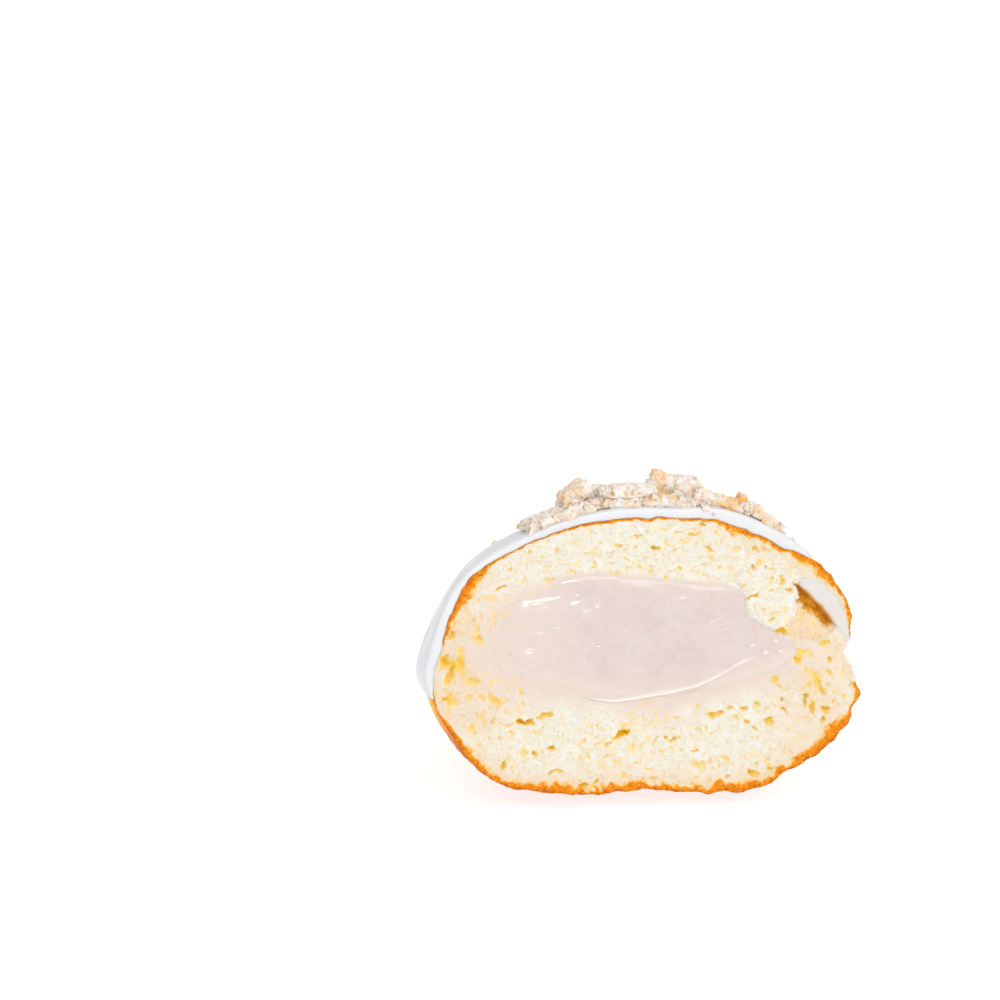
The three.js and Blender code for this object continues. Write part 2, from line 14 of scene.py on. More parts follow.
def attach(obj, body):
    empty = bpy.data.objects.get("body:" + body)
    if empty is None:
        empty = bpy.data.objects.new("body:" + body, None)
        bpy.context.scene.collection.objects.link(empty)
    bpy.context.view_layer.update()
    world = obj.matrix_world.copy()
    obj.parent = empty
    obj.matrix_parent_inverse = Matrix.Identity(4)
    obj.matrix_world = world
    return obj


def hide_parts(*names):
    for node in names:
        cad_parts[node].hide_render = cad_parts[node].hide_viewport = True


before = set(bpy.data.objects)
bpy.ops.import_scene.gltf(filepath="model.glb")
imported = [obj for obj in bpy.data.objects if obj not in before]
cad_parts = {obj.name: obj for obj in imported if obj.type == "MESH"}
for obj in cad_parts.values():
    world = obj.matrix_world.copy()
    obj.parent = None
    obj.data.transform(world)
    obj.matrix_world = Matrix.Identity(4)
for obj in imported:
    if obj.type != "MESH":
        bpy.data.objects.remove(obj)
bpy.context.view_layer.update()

# Half of a filled doughnut with white icing and broken cereal squares. Shapes are worked out in
# millimetres in the cut's own frame: X to the right along the cut, Y into the doughnut, Z up along the
# cut, with the origin at the middle of the widest level. Stand turns that frame into the row frame in
# metres. Headings run in the cut from +X towards the top; azimuths and latitudes run round the half.
# Where noise is read at a fixed Y, that number only picks a slice of its own.

BODY = "root"
SEED = 71
FULL_TURN = 6.28
Array = np.ndarray
Pair = tuple[float, float]
Knots = tuple[Pair, ...]
Object = bpy.types.Object
Material = bpy.types.Material
log = logging.getLogger("doughnut")


class Slot(enum.Enum):
    """Material slots of the record."""

    DOUGH = "dough"
    CREAM = "cream"
    ICING = "icing"
    CEREAL = "cereal"


class Layer(enum.Enum):
    """Vertex attributes that carry where a finish changes."""

    # Gold of the pores: the crumb's own yellow patches, with painted shade that deepens inside the pores.
    PORE = "pore"
    CRUST = "crust"
    SMEAR = "smear"
    PEACH = "peach"
    # Painted shade in the hollow, deepest under its roof.
    HOLLOW_SHADE = "hollow_shade"
    TOAST = "toast"
    # Painted highlight along the cream's lip and painted shade on the wall of the run of icing.
    PAINTED_LIGHT_AND_SHADE = "rim"


Shaped = tuple[Array, dict[Layer, Array]]


# Numbers over arrays


def sin_deg(angle: Array) -> Array:
    """Sine of an angle in degrees."""
    return np.sin(np.radians(angle))


def cos_deg(angle: Array) -> Array:
    """Cosine of an angle in degrees."""
    return np.cos(np.radians(angle))


def mix(start: Array, end: Array, share: Array) -> Array:
    """Value at a share of the way from start to end."""
    return start + (end - start) * share


def ease(low: float, high: float, value: Array) -> Array:
    """Smooth step from 0 at low to 1 at high."""
    share = np.clip((value - low) / (high - low), 0, 1)
    return share * share * (3 - 2 * share)


def bell(value: Array, middle: float, spread: float) -> Array:
    """1 at the middle, falling off to both sides by the spread."""
    return np.exp(-(((value - middle) / spread) ** 2))


def heading_of(across: Array, upward: Array) -> Array:
    """Heading in degrees of directions."""
    return np.degrees(np.arctan2(upward, across))


def toward(heading: Array) -> Array:
    """Directions at headings in degrees, one row each."""
    return np.stack([cos_deg(heading), sin_deg(heading)], -1)


def turned(axis: str, angle: float) -> Matrix:
    """Rotation about an axis by an angle in degrees."""
    return Matrix.Rotation(math.radians(angle), 4, axis)


def read_line(line: Array, place: Array) -> Array:
    """Rows of a line of corners at places counted in corners, one row each."""
    return np.stack([np.interp(place, range(len(line)), column) for column in line.T], -1)


def reach_at(outline: Array, heading: Array) -> Array:
    """Distance from the origin to the points of a closed outline at headings in degrees."""
    return np.interp(heading, heading_of(*outline.T), np.hypot(*outline.T), period=360)


def rows_of(kind: type, rows: Sequence[Sequence[float]]) -> tuple:
    """Objects of a kind, one for each row of its values."""
    return tuple(kind(*row) for row in rows)


def by_heading(knots: Knots, heading: Array) -> Array:
    """Value at headings in degrees, read between knots of heading and value that go round the circle."""
    angles, values = zip(*knots)
    return np.interp(heading, angles, values, period=360)


def smooth_outline(corners: Knots, per_side: int = 6) -> Array:
    """Closed smooth curve through corners.

    Args:
        corners: The points that the curve passes.
        per_side: Points made for each side.

    Returns:
        Points of the curve, one row each.
    """
    here = np.array(corners, float)
    before, after, beyond = np.roll(here, 1, 0), np.roll(here, -1, 0), np.roll(here, -2, 0)
    t = np.linspace(0, 1, per_side, endpoint=False)[:, None, None]
    curve = 2 * here + (after - before) * t + (2 * before - 5 * here + 4 * after - beyond) * t**2
    curve = 0.5 * (curve + (3 * here - before - 3 * after + beyond) * t**3)
    return curve.transpose(1, 0, 2).reshape(-1, 2)


def signed_distance(x: Array, z: Array, outline: Array) -> Array:
    """Distance in millimetres to a closed outline, negative inside it.

    Args:
        x: Places to the right.
        z: Places upwards.
        outline: Corners of the outline, one row each.

    Returns:
        The signed distances.
    """
    nearest = np.full(np.shape(x), np.inf)
    inside = np.zeros(np.shape(x), bool)
    for (ax, az), (bx, bz) in zip(outline, np.roll(outline, -1, 0)):
        ex, ez = bx - ax, bz - az
        along = np.clip(((x - ax) * ex + (z - az) * ez) / (ex * ex + ez * ez), 0, 1)
        nearest = np.minimum(nearest, np.hypot(x - ax - along * ex, z - az - along * ez))
        if az != bz:
            inside ^= ((az > z) != (bz > z)) & (x < ex * (z - az) / (bz - az) + ax)
    return np.where(inside, -nearest, nearest)


class Lattice:
    """Smooth repeatable noise between -1 and 1."""

    PRIMES = (73856093, 19349663, 83492791)

    def __init__(self, seed: int) -> None:
        """Fills the table that the lattice corners read."""
        self.table = np.random.default_rng(seed).uniform(-1, 1, 8192)

    def at(self, cell: float | tuple[float, float, float], x: Array, y: Array | float, z: Array) -> Array:
        """Noise at points.

        Args:
            cell: Size of a lattice cell in millimetres, or one size for each axis.
            x: Places along X.
            y: Places along Y.
            z: Places along Z.

        Returns:
            The noise at the points.
        """
        sizes = np.broadcast_to(np.array(cell, float), 3)
        places = [np.broadcast_to(p, np.shape(x)) / size + 0.37 for p, size in zip((x, y, z), sizes)]
        corners = [np.floor(p).astype(np.int64) for p in places]
        parts = [ease(0, 1, p - c) for p, c in zip(places, corners)]
        total = np.zeros(np.shape(x))
        for steps in product((0, 1), repeat=3):
            index = np.zeros(np.shape(x), np.int64)
            weight = np.ones(np.shape(x))
            for corner, part, step, prime in zip(corners, parts, steps, self.PRIMES):
                index ^= (corner + step) * prime
                weight = weight * (part if step else 1 - part)
            total += weight * self.table[(index ^ (index >> 13)) & 8191]
        return total

    def folds(
        self, cell: float | tuple[float, float, float], octaves: int, x: Array, y: Array | float, z: Array
    ) -> Array:
        """Noise of several sizes, each half the size and height of the one before."""
        return sum(self.at(np.array(cell) / 2**i, x, y, z) / 2**i for i in range(octaves))


class Draws:
    """Repeatable numbers from 0 to 1, in the same order as in the part's source."""

    MODULUS = 2147483647
    FACTOR = 48271

    def __init__(self, seed: int) -> None:
        """Starts the row of numbers."""
        self.state = seed * 7919

    def __call__(self) -> float:
        """Gives the next number."""
        self.state = self.state * self.FACTOR % self.MODULUS
        return self.state / self.MODULUS

    def above(self, least: float, spread: float) -> float:
        """Gives a number from the least one to that plus the spread."""
        return least + spread * self()


# Form of the half


@dataclass(frozen=True)
class Lump:
    """Rise of an outline around a heading, in degrees and millimetres."""

    heading: float
    height: float
    spread: float

    def at(self, heading: Array) -> Array:
        """Height of the lump at a heading."""
        away = (heading - self.heading + 180) % 360 - 180
        return self.height * bell(away, 0, self.spread)


@dataclass(frozen=True)
class DoughForm:
    """Outline of the dough in the cut, swept round the upright axis."""

    half_width: float = 41.5
    top_height: float = 30.1
    bottom_depth: float = 25.0
    top_squareness: float = 2.15
    bottom_squareness: float = 2.9
    lumps: tuple[Lump, ...] = rows_of(Lump, (
        (22, 2.9, 16), (-10, 2.5, 9), (-48, 1.5, 9), (-91, -1.1, 13), (-141, 0.7, 9), (-177, 2.6, 12),
        (156, 2.1, 15), (68, 0.6, 9),
    ))
    # Details that only the cut's own rim has: the notch at the filling hole, a baked bubble and small dips.
    rim_lumps: tuple[Lump, ...] = rows_of(Lump, (
        (3.6, -1.9, 3.2), (-7.2, 0.75, 1.5), (-11.5, -0.5, 1.4), (-16, 0.35, 1.6), (42, -0.6, 3.0),
        (172, -0.7, 13.0), (162, -0.3, 3.0), (-161, -0.5, 7.0), (-139, 0.35, 2.4), (-117, 0.3, 2.0),
        (-104, -0.35, 2.0), (-84, -0.25, 5.0), (-62, 0.3, 3.0), (-37, -0.3, 2.2), (-27, 0.3, 2.0),
    ))
    rim_depth: float = 4.0
    # Flatter stretch behind the left end of the cut: its depth, and azimuth and latitude with their spreads.
    flat_depth: float = 1.5
    flat_azimuth: Pair = (160.0, 13.0)
    flat_latitude: Pair = (24.0, 12.0)

    def outline_radius(self, heading: Array) -> Array:
        """Radius of the outline at a heading in degrees from +X towards the top.

        Args:
            heading: Headings in degrees.

        Returns:
            The radii.
        """
        above = sin_deg(heading) >= 0
        height = np.where(above, self.top_height, self.bottom_depth)
        power = np.where(above, self.top_squareness, self.bottom_squareness)
        across = np.abs(cos_deg(heading) / self.half_width) ** power
        upward = np.abs(sin_deg(heading) / height) ** power
        return (across + upward) ** (-1 / power) + sum(lump.at(heading) for lump in self.lumps)

    def radius(self, azimuth: Array, latitude: Array) -> Array:
        """Radius at an azimuth (0 right, 90 back, 180 left) and a latitude in degrees.

        Args:
            azimuth: Azimuths.
            latitude: Latitudes.

        Returns:
            The radii.
        """
        left = self.outline_radius(180 - latitude)
        right = self.outline_radius(latitude)
        flat = self.flat_depth * bell(azimuth, *self.flat_azimuth) * bell(latitude, *self.flat_latitude)
        return mix(left, right, (1 + cos_deg(azimuth)) / 2) - flat * ease(180, 172, azimuth)


@dataclass(frozen=True)
class IcingForm:
    """Coat of icing over the dough: its thickness and how far down it comes."""

    dough: DoughForm = field(default_factory=DoughForm)
    crown: float = 2.1
    bead: float = 2.5
    nose_start: float = 0.95
    nose_round: float = 1.6
    # The coat starts to thin sooner at both ends of the cut: by how much, and over what azimuth.
    right_end: Pair = (0.17, 22.0)
    left_end: Pair = (0.04, 14.0)
    shoulder: float = 0.7
    shoulder_latitude: Pair = (60.0, 13.0)
    edge: float = -6.5
    rise: float = 41.0
    rise_spread: float = 24.0

    def nose_from(self, azimuth: Array) -> Array:
        """Share of the way down where the coat starts to thin; sooner at both ends of the cut."""
        right = self.right_end[0] * bell(azimuth, 0, self.right_end[1])
        left = self.left_end[0] * bell(azimuth, 180, self.left_end[1])
        return self.nose_start - right - left

    def edge_latitude(self, azimuth: Array) -> Array:
        """Latitude of the lower edge, which waves and rises over the filling hole."""
        waves = 2.6 * sin_deg(3 * azimuth + 24) - 1.7 * sin_deg(7 * azimuth - 12)
        return self.edge + waves * sin_deg(azimuth) + self.rise * bell(azimuth, 0, self.rise_spread)

    def latitude(self, azimuth: Array, down: Array) -> Array:
        """Latitude at a share of the way from the crown to the lower edge."""
        return 90 - down * (90 - self.edge_latitude(azimuth))

    def thickness(self, azimuth: Array, down: Array) -> Array:
        """Thickness from the crown to the lower edge, thinner beside both ends of the cut.

        Args:
            azimuth: Azimuths in degrees.
            down: 0 at the crown to 1 at the lower edge.

        Returns:
            The thicknesses.
        """
        start = self.nose_from(azimuth)
        on_nose = np.clip((down - start) / (1 - start), 0, 1)
        left = bell(azimuth, 180, 26) * ease(0.3, 0.75, down)
        power = 0.5 + 0.35 * bell(azimuth, 180, 14) + 0.3 * bell(azimuth, 0, 24)
        latitude = self.latitude(azimuth, down)
        shoulder = self.shoulder * (1 + cos_deg(azimuth)) / 2 * bell(latitude, *self.shoulder_latitude)
        whole = (mix(self.crown, self.bead, down**3) + shoulder * ease(0, 0.2, down)) * (1 - 0.4 * left)
        return whole * np.clip(1 - on_nose**self.nose_round, 0, 1) ** power

    def surface_radius(self, azimuth: Array, latitude: Array) -> Array:
        """Radius of dough and icing together."""
        down = (90 - latitude) / (90 - self.edge_latitude(azimuth))
        coat = np.where(down < 1, self.thickness(azimuth, np.minimum(down, 1)), 0)
        return self.dough.radius(azimuth, latitude) + coat

    def frame_at(self, azimuth: float, latitude: float, height: float) -> Matrix:
        """Frame on the iced surface with Z out of it.

        Args:
            azimuth: Azimuth in degrees.
            latitude: Latitude in degrees.
            height: Height of the frame's origin above the surface.

        Returns:
            The frame as a matrix.
        """
        def at(az: float, lat: float) -> Vector:
            """Point of the iced surface."""
            return Vector(polar(self.surface_radius(np.array(az), np.array(lat)), az, lat))

        along = (at(azimuth + 1, latitude) - at(azimuth - 1, latitude)).normalized()
        upward = (at(azimuth, latitude + 1) - at(azimuth, latitude - 1)).normalized()
        out = along.cross(upward).normalized()
        upward = out.cross(along)
        axes = Matrix((along, upward, out)).transposed().to_4x4()
        return Matrix.Translation(at(azimuth, latitude) + out * height) @ axes


def over(x: float, y: float, height: float) -> Matrix:
    """Frame on the iced surface above a place in plan.

    Args:
        x: Place to the right.
        y: Place into the doughnut.
        height: Height of the frame's origin above the surface.

    Returns:
        The frame as a matrix.
    """
    azimuth = math.degrees(math.atan2(y, x))
    latitude = 60.0
    for _ in range(8):
        radius = float(ICED.surface_radius(np.array(azimuth), np.array(latitude)))
        latitude = math.degrees(math.acos(min(0.999, math.hypot(x, y) / radius)))
    return ICED.frame_at(azimuth, latitude, height)


def polar(radius: Array, azimuth: Array, latitude: Array) -> Array:
    """Points at a radius, azimuth and latitude, one row each."""
    level = radius * cos_deg(latitude)
    return np.stack([level * cos_deg(azimuth), level * sin_deg(azimuth), radius * sin_deg(latitude)], -1)


@dataclass(frozen=True)
class Stand:
    """How the half stands: it leans back on its round base and its box is centred on the origin."""

    lean: float = 12.0
    shift: tuple[float, float, float] = (0.9566, -21.3550, 27.5780)
    scale: float = 0.001

    def turn(self) -> Matrix:
        """Rotation from the cut's frame to the row frame."""
        return Matrix.Rotation(-math.radians(self.lean), 3, "X")

    def place(self, points: Array) -> Array:
        """Moves points of the cut's frame to the row frame in metres, none of them under the floor."""
        placed = points @ np.array(self.turn()).T + np.array(self.shift)
        placed[:, 2] = np.maximum(placed[:, 2], 0)
        return placed * self.scale


DOUGH = DoughForm()
ICED = IcingForm(DOUGH)
STAND = Stand()


# Meshes


def link(name: str, data: bpy.types.ID) -> Object:
    """Puts an object with its data into the scene."""
    made = bpy.data.objects.new(name, data)
    bpy.context.scene.collection.objects.link(made)
    return made


def plain_grid(name: str, columns: int, rows: int, half_side: float = 1.0) -> bpy.types.Mesh:
    """Mesh of a flat square grid round the origin.

    Args:
        name: Mesh name.
        columns: Number of columns.
        rows: Number of rows.
        half_side: Half of its side.

    Returns:
        The mesh.
    """
    form = bmesh.new()
    bmesh.ops.create_grid(form, x_segments=columns, y_segments=rows, size=half_side)
    mesh = bpy.data.meshes.new(name)
    form.to_mesh(mesh)
    form.free()
    return mesh


def grid_mesh(name: str, columns: int, rows: int, shape: Callable[[Array, Array], Shaped]) -> Object:
    """Makes a closed body from a grid whose columns run round it.

    Args:
        name: Name of the object.
        columns: Number of faces round the body.
        rows: Number of faces from the first ring to the last.
        shape: Gives the points in the cut's frame and the layer values for column and row numbers.

    Returns:
        The object, with its mesh in the row frame.
    """
    mesh = plain_grid(name, columns, rows)
    flat = np.empty(len(mesh.vertices) * 3)
    mesh.vertices.foreach_get("co", flat)
    flat = flat.reshape(-1, 3)
    column = np.rint((flat[:, 0] + 1) / 2 * columns).astype(int)
    row = np.rint((flat[:, 1] + 1) / 2 * rows).astype(int)
    points, layers = shape(column, row)
    mesh.vertices.foreach_set("co", points.astype(np.float32).ravel())
    for layer, values in layers.items():
        write_layer(mesh, layer, values)
    return closed_object(name, mesh)


def write_layer(mesh: bpy.types.Mesh, layer: Layer, values: Array) -> None:
    """Stores a value for each vertex."""
    attribute = mesh.attributes.new(layer.value, "FLOAT", "POINT")
    attribute.data.foreach_set("value", np.asarray(values, np.float32))


def closed_object(name: str, mesh: bpy.types.Mesh) -> Object:
    """Welds a mesh along its open edges, turns its faces out and stands it in the row frame.

    Args:
        name: Name of the object.
        mesh: Mesh in the cut's frame, in millimetres.

    Returns:
        The object of the welded mesh.
    """
    form = bmesh.new()
    form.from_mesh(mesh)
    rim = [v for v in form.verts if v.is_boundary]
    bmesh.ops.remove_doubles(form, verts=rim, dist=1e-3)
    bmesh.ops.recalc_face_normals(form, faces=form.faces)
    form.to_mesh(mesh)
    form.free()
    points = np.empty(len(mesh.vertices) * 3)
    mesh.vertices.foreach_get("co", points)
    placed = STAND.place(points.reshape(-1, 3))
    mesh.vertices.foreach_set("co", placed.astype(np.float32).ravel())
    mesh.shade_smooth()
    mesh.update()
    return link(name, mesh)


def finish_piece(piece: Object, slot: Slot, material: Material, *nodes: str) -> None:
    """Dresses a piece, lets it ride on the body and hides the solids that it stands for.

    Args:
        piece: The finished piece.
        slot: Not used.
        material: The piece's material.
        nodes: The solids that the piece replaces.
    """
    piece.data.materials.append(material)
    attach(piece, BODY)
    if nodes:
        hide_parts(*nodes)
    log.info("%s: %d faces", piece.name, len(piece.data.polygons))


# Shading


def srgb(red: int, green: int, blue: int) -> tuple[float, float, float, float]:
    """Linear colour of an sRGB colour given from 0 to 255.

    Args:
        red: Red level.
        green: Green level.
        blue: Blue level.

    Returns:
        The colour with full alpha.
    """
    def linear(level: int) -> float:
        """Linear value of one channel."""
        share = level / 255
        return share / 12.92 if share <= 0.04045 else ((share + 0.055) / 1.055) ** 2.4

    return linear(red), linear(green), linear(blue), 1.0


def per_metre(size: float) -> float:
    """Texture scale of features of a size in millimetres."""
    return 1 / (size * STAND.scale)


Colour = tuple[float, float, float, float]
Socket = bpy.types.NodeSocket
Value = float | tuple[float, ...] | Socket
WHITE_LIGHT = (1.0, 1.0, 1.0, 1.0)


class Shading:
    """A node tree with short calls for the nodes that the finishes use."""

    def __init__(self, tree: bpy.types.NodeTree, groups: "SharedGroups | None" = None) -> None:
        """Keeps the tree and the groups that may be placed in it."""
        self.tree = tree
        self.groups = groups
        self.place: Socket | None = None

    def put(self, socket: Socket, value: Value) -> None:
        """Links a socket to another, or sets its own value.

        Args:
            socket: The socket that takes it.
            value: A number, a colour or another socket.
        """
        if isinstance(value, Socket):
            self.tree.links.new(value, socket)
        else:
            socket.default_value = value

    def node(
        self, kind: str, inputs: dict[int | str, Value] | None = None, **settings: object
    ) -> bpy.types.Node:
        """Adds a node.

        Args:
            kind: Node type without the ShaderNode prefix.
            inputs: Values or sockets by input name or number.
            settings: Properties of the node.

        Returns:
            The node.
        """
        made = self.tree.nodes.new("ShaderNode" + kind)
        for name, value in settings.items():
            setattr(made, name, value)
        for key, value in (inputs or {}).items():
            self.put(made.inputs[key], value)
        return made

    def math(self, operation: str, first: Value, second: Value = 0.0, clamp: bool = False) -> Socket:
        """Result of a sum on one or two values."""
        return self.node("Math", {0: first, 1: second}, operation=operation, use_clamp=clamp).outputs[0]

    def plus(self, first: Value, second: Value, clamp: bool = False) -> Socket:
        """Two values added."""
        return self.math("ADD", first, second, clamp)

    def minus(self, first: Value, second: Value) -> Socket:
        """First value less the second."""
        return self.math("SUBTRACT", first, second)

    def times(self, first: Value, second: Value) -> Socket:
        """Two values multiplied."""
        return self.math("MULTIPLY", first, second)

    def vector(self, operation: str, inputs: dict[int | str, Value], result: str = "Vector") -> Socket:
        """Result of a sum on vectors."""
        return self.node("VectorMath", inputs, operation=operation).outputs[result]

    def blend(self, share: Value, first: Value, second: Value, kind: str = "MIX") -> Socket:
        """Colour between two colours.

        Args:
            share: How much of the second.
            first: First colour.
            second: Second colour.
            kind: Way to mix them.

        Returns:
            The colour's socket.
        """
        made = self.node("Mix", data_type="RGBA", blend_type=kind)
        for number, value in ((0, share), (6, first), (7, second)):
            self.put(made.inputs[number], value)
        return made.outputs[2]

    def tint(self, under: Value, tone: Value, share: Value, strength: float = 1.0) -> Socket:
        """Colour with a tone over it, by a share and the tone's full strength."""
        if strength != 1.0:
            share = self.times(share, strength)
        return self.blend(share, under, tone)

    def step(self, value: Value, low: float, high: float, start: float = 0.0, end: float = 1.0) -> Socket:
        """Smooth step of a value from start at low to end at high."""
        inputs = {0: value, 1: low, 2: high, 3: start, 4: end}
        return self.node("MapRange", inputs, interpolation_type="SMOOTHSTEP").outputs[0]

    def layer(self, layer: Layer) -> Socket:
        """Value of a vertex layer."""
        return self.node("Attribute", attribute_name=layer.value).outputs["Fac"]

    def object_place(self) -> Socket:
        """Object coordinates."""
        if self.place is None:
            self.place = self.node("TexCoord").outputs["Object"]
        return self.place

    def noise(
        self, size: float, detail: float = 2.0, roughness: float = 0.5, distortion: float = 0.0
    ) -> Socket:
        """Noise with features of a size in millimetres."""
        inputs = {"Vector": self.object_place(), "Scale": per_metre(size), "Detail": detail,
                  "Roughness": roughness, "Distortion": distortion}
        return self.node("TexNoise", inputs).outputs["Fac"]

    def drift(self, size: float, start: float, end: float) -> Socket:
        """Value that drifts between start and end over patches of a size in millimetres."""
        return self.step(self.noise(size, 3.0), 0.3, 0.7, start, end)

    def bump(self, height: Value, depth: float, strength: float) -> Socket:
        """Normal of a relief whose depth is in millimetres."""
        inputs = {"Height": height, "Distance": depth * STAND.scale, "Strength": strength}
        return self.node("Bump", inputs).outputs["Normal"]

    def group(self, tree: bpy.types.NodeTree, **values: float) -> Socket:
        """Result of a shared group, placed on Object coordinates with its own values.

        Args:
            tree: The shared group.
            values: Values of its inputs by name.

        Returns:
            The result's socket.
        """
        made = self.node("Group")
        made.node_tree = tree
        for name, value in {"Vector": self.object_place(), **values}.items():
            self.put(made.inputs[name], value)
        return made.outputs[0]

    def mottled(self, coarse: float, fine: float) -> Socket:
        """Soft patches with fine ones inside them; both sizes are in millimetres."""
        return self.group(self.groups.mottle, Coarse=per_metre(coarse), Fine=per_metre(fine))

    def specked(self, size: float, share: float) -> Socket:
        """Specks on a share of cells of a size in millimetres."""
        return self.group(self.groups.specks, Scale=per_metre(size), Share=share)

    def grained(self, size: float, pits: float) -> Socket:
        """Grain of a size in millimetres, with pits as deep as given."""
        return self.group(self.groups.grain, Scale=per_metre(size), Pits=pits)

    def foamed(self, size: float) -> Socket:
        """Foam whose bubbles have a size in millimetres."""
        return self.group(self.groups.foam, Scale=per_metre(size))


class SharedGroups:
    """Node groups that several finishes use, each built once and placed with its own values."""

    def __init__(self) -> None:
        """Builds the groups."""
        self.mottle = self.build("Mottle", ("Vector", "Coarse", "Fine"), "Value", self.lay_mottle)
        self.specks = self.build("Specks", ("Vector", "Scale", "Share"), "Mask", self.lay_specks)
        self.grain = self.build("Grain", ("Vector", "Scale", "Pits"), "Height", self.lay_grain)
        self.foam = self.build("Foam", ("Vector", "Scale"), "Pit", self.lay_foam)

    def build(
        self, name: str, inputs: Sequence[str], output: str,
        lay: Callable[[Shading, dict[str, Socket]], Socket],
    ) -> bpy.types.NodeTree:
        """Makes a group.

        Args:
            name: Name of the group.
            inputs: Names of its inputs; Vector is a vector, the others are numbers.
            output: Name of its output, a number.
            lay: Adds the nodes between the group's inputs and its output, and gives the result.

        Returns:
            The group.
        """
        tree = bpy.data.node_groups.new(name, "ShaderNodeTree")
        for label in inputs:
            kind = "NodeSocketVector" if label == "Vector" else "NodeSocketFloat"
            tree.interface.new_socket(label, in_out="INPUT", socket_type=kind)
        tree.interface.new_socket(output, in_out="OUTPUT", socket_type="NodeSocketFloat")
        start, end = tree.nodes.new("NodeGroupInput"), tree.nodes.new("NodeGroupOutput")
        shading = Shading(tree)
        shading.put(end.inputs[output], lay(shading, {label: start.outputs[label] for label in inputs}))
        return tree

    def lay_mottle(self, shading: Shading, given: dict[str, Socket]) -> Socket:
        """Soft patches with fine patches inside them.

        Args:
            shading: The group's node tree.
            given: Sockets of the group's inputs.

        Returns:
            The result's socket.
        """
        coarse = {"Vector": given["Vector"], "Scale": given["Coarse"], "Detail": 3.0}
        fine = {"Vector": given["Vector"], "Scale": given["Fine"], "Detail": 4.0, "Roughness": 0.65}
        total = shading.plus(*(shading.node("TexNoise", inputs).outputs["Fac"] for inputs in (coarse, fine)))
        return shading.step(total, 0.7, 1.3)

    def lay_specks(self, shading: Shading, given: dict[str, Socket]) -> Socket:
        """Scattered specks; Share is the part of the cells that hold one.

        Args:
            shading: The group's node tree.
            given: Sockets of the group's inputs.

        Returns:
            The result's socket.
        """
        cells = shading.node("TexVoronoi", {"Vector": given["Vector"], "Scale": given["Scale"]})
        chosen = shading.node("SeparateColor", {0: cells.outputs["Color"]}).outputs[0]
        picked = shading.math("LESS_THAN", chosen, given["Share"])
        return shading.times(picked, shading.step(cells.outputs["Distance"], 0.16, 0.34, 1.0, 0.0))

    def lay_grain(self, shading: Shading, given: dict[str, Socket]) -> Socket:
        """Fine uneven surface with small pits.

        Args:
            shading: The group's node tree.
            given: Sockets of the group's inputs.

        Returns:
            The result's socket.
        """
        inputs = {"Vector": given["Vector"], "Scale": given["Scale"]}
        rough = shading.node("TexNoise", inputs | {"Detail": 5.0, "Roughness": 0.7}).outputs["Fac"]
        cells = shading.node("TexVoronoi", inputs)
        pit = shading.times(shading.step(cells.outputs["Distance"], 0.1, 0.45, 1.0, 0.0), given["Pits"])
        return shading.minus(rough, pit)

    def lay_foam(self, shading: Shading, given: dict[str, Socket]) -> Socket:
        """Open bubbles of uneven size and depth, with bent walls between them.

        Args:
            shading: The group's node tree.
            given: Sockets of the group's inputs.

        Returns:
            The result's socket.
        """
        place, scale = given["Vector"], given["Scale"]
        bend = shading.node("TexNoise", {"Vector": place, "Scale": scale, "Detail": 2.0}).outputs["Color"]
        push = shading.vector("SCALE", {0: bend, "Scale": 0.7 * STAND.scale})
        bent = shading.vector("ADD", {0: place, 1: push})
        cells = shading.node("TexVoronoi", {"Vector": bent, "Scale": scale})
        chosen = shading.node("SeparateColor", {0: cells.outputs["Color"]}).outputs[0]
        open_part = shading.minus(shading.step(chosen, 0.25, 1.0, 0.0, 0.5), cells.outputs["Distance"])
        return shading.step(open_part, 0.0, 0.28)


@dataclass(frozen=True)
class Finish:
    """Base of the finishes: a material with one Principled shader."""

    name: str = "finish"
    specular: float = 0.5
    # Light inside the surface: weight, reach in red, green and blue, and scale in millimetres.
    glow_weight: float = 0.3
    glow_reach: tuple[float, float, float] = (1.0, 0.6, 0.3)
    glow_scale: float = 0.6

    def surface(self, shading: Shading) -> dict[str, Value]:
        """Lays the finish's nodes and gives the shader's values or sockets by input name."""
        raise NotImplementedError

    def material(self, groups: SharedGroups) -> Material:
        """Makes the material.

        Args:
            groups: The shared node groups.

        Returns:
            The material.
        """
        material = bpy.data.materials.new(self.name)
        material.use_nodes = True
        material.node_tree.nodes.clear()
        shading = Shading(material.node_tree, groups)
        shader = shading.node("BsdfPrincipled")
        shading.node("OutputMaterial", {"Surface": shader.outputs["BSDF"]})
        inputs = self.surface(shading) | {"Specular IOR Level": self.specular}
        if self.glow_weight:
            inputs["Subsurface Weight"] = self.glow_weight
            inputs["Subsurface Radius"] = self.glow_reach
            inputs["Subsurface Scale"] = self.glow_scale * STAND.scale
        for name, value in inputs.items():
            shading.put(shader.inputs[name], value)
        return material


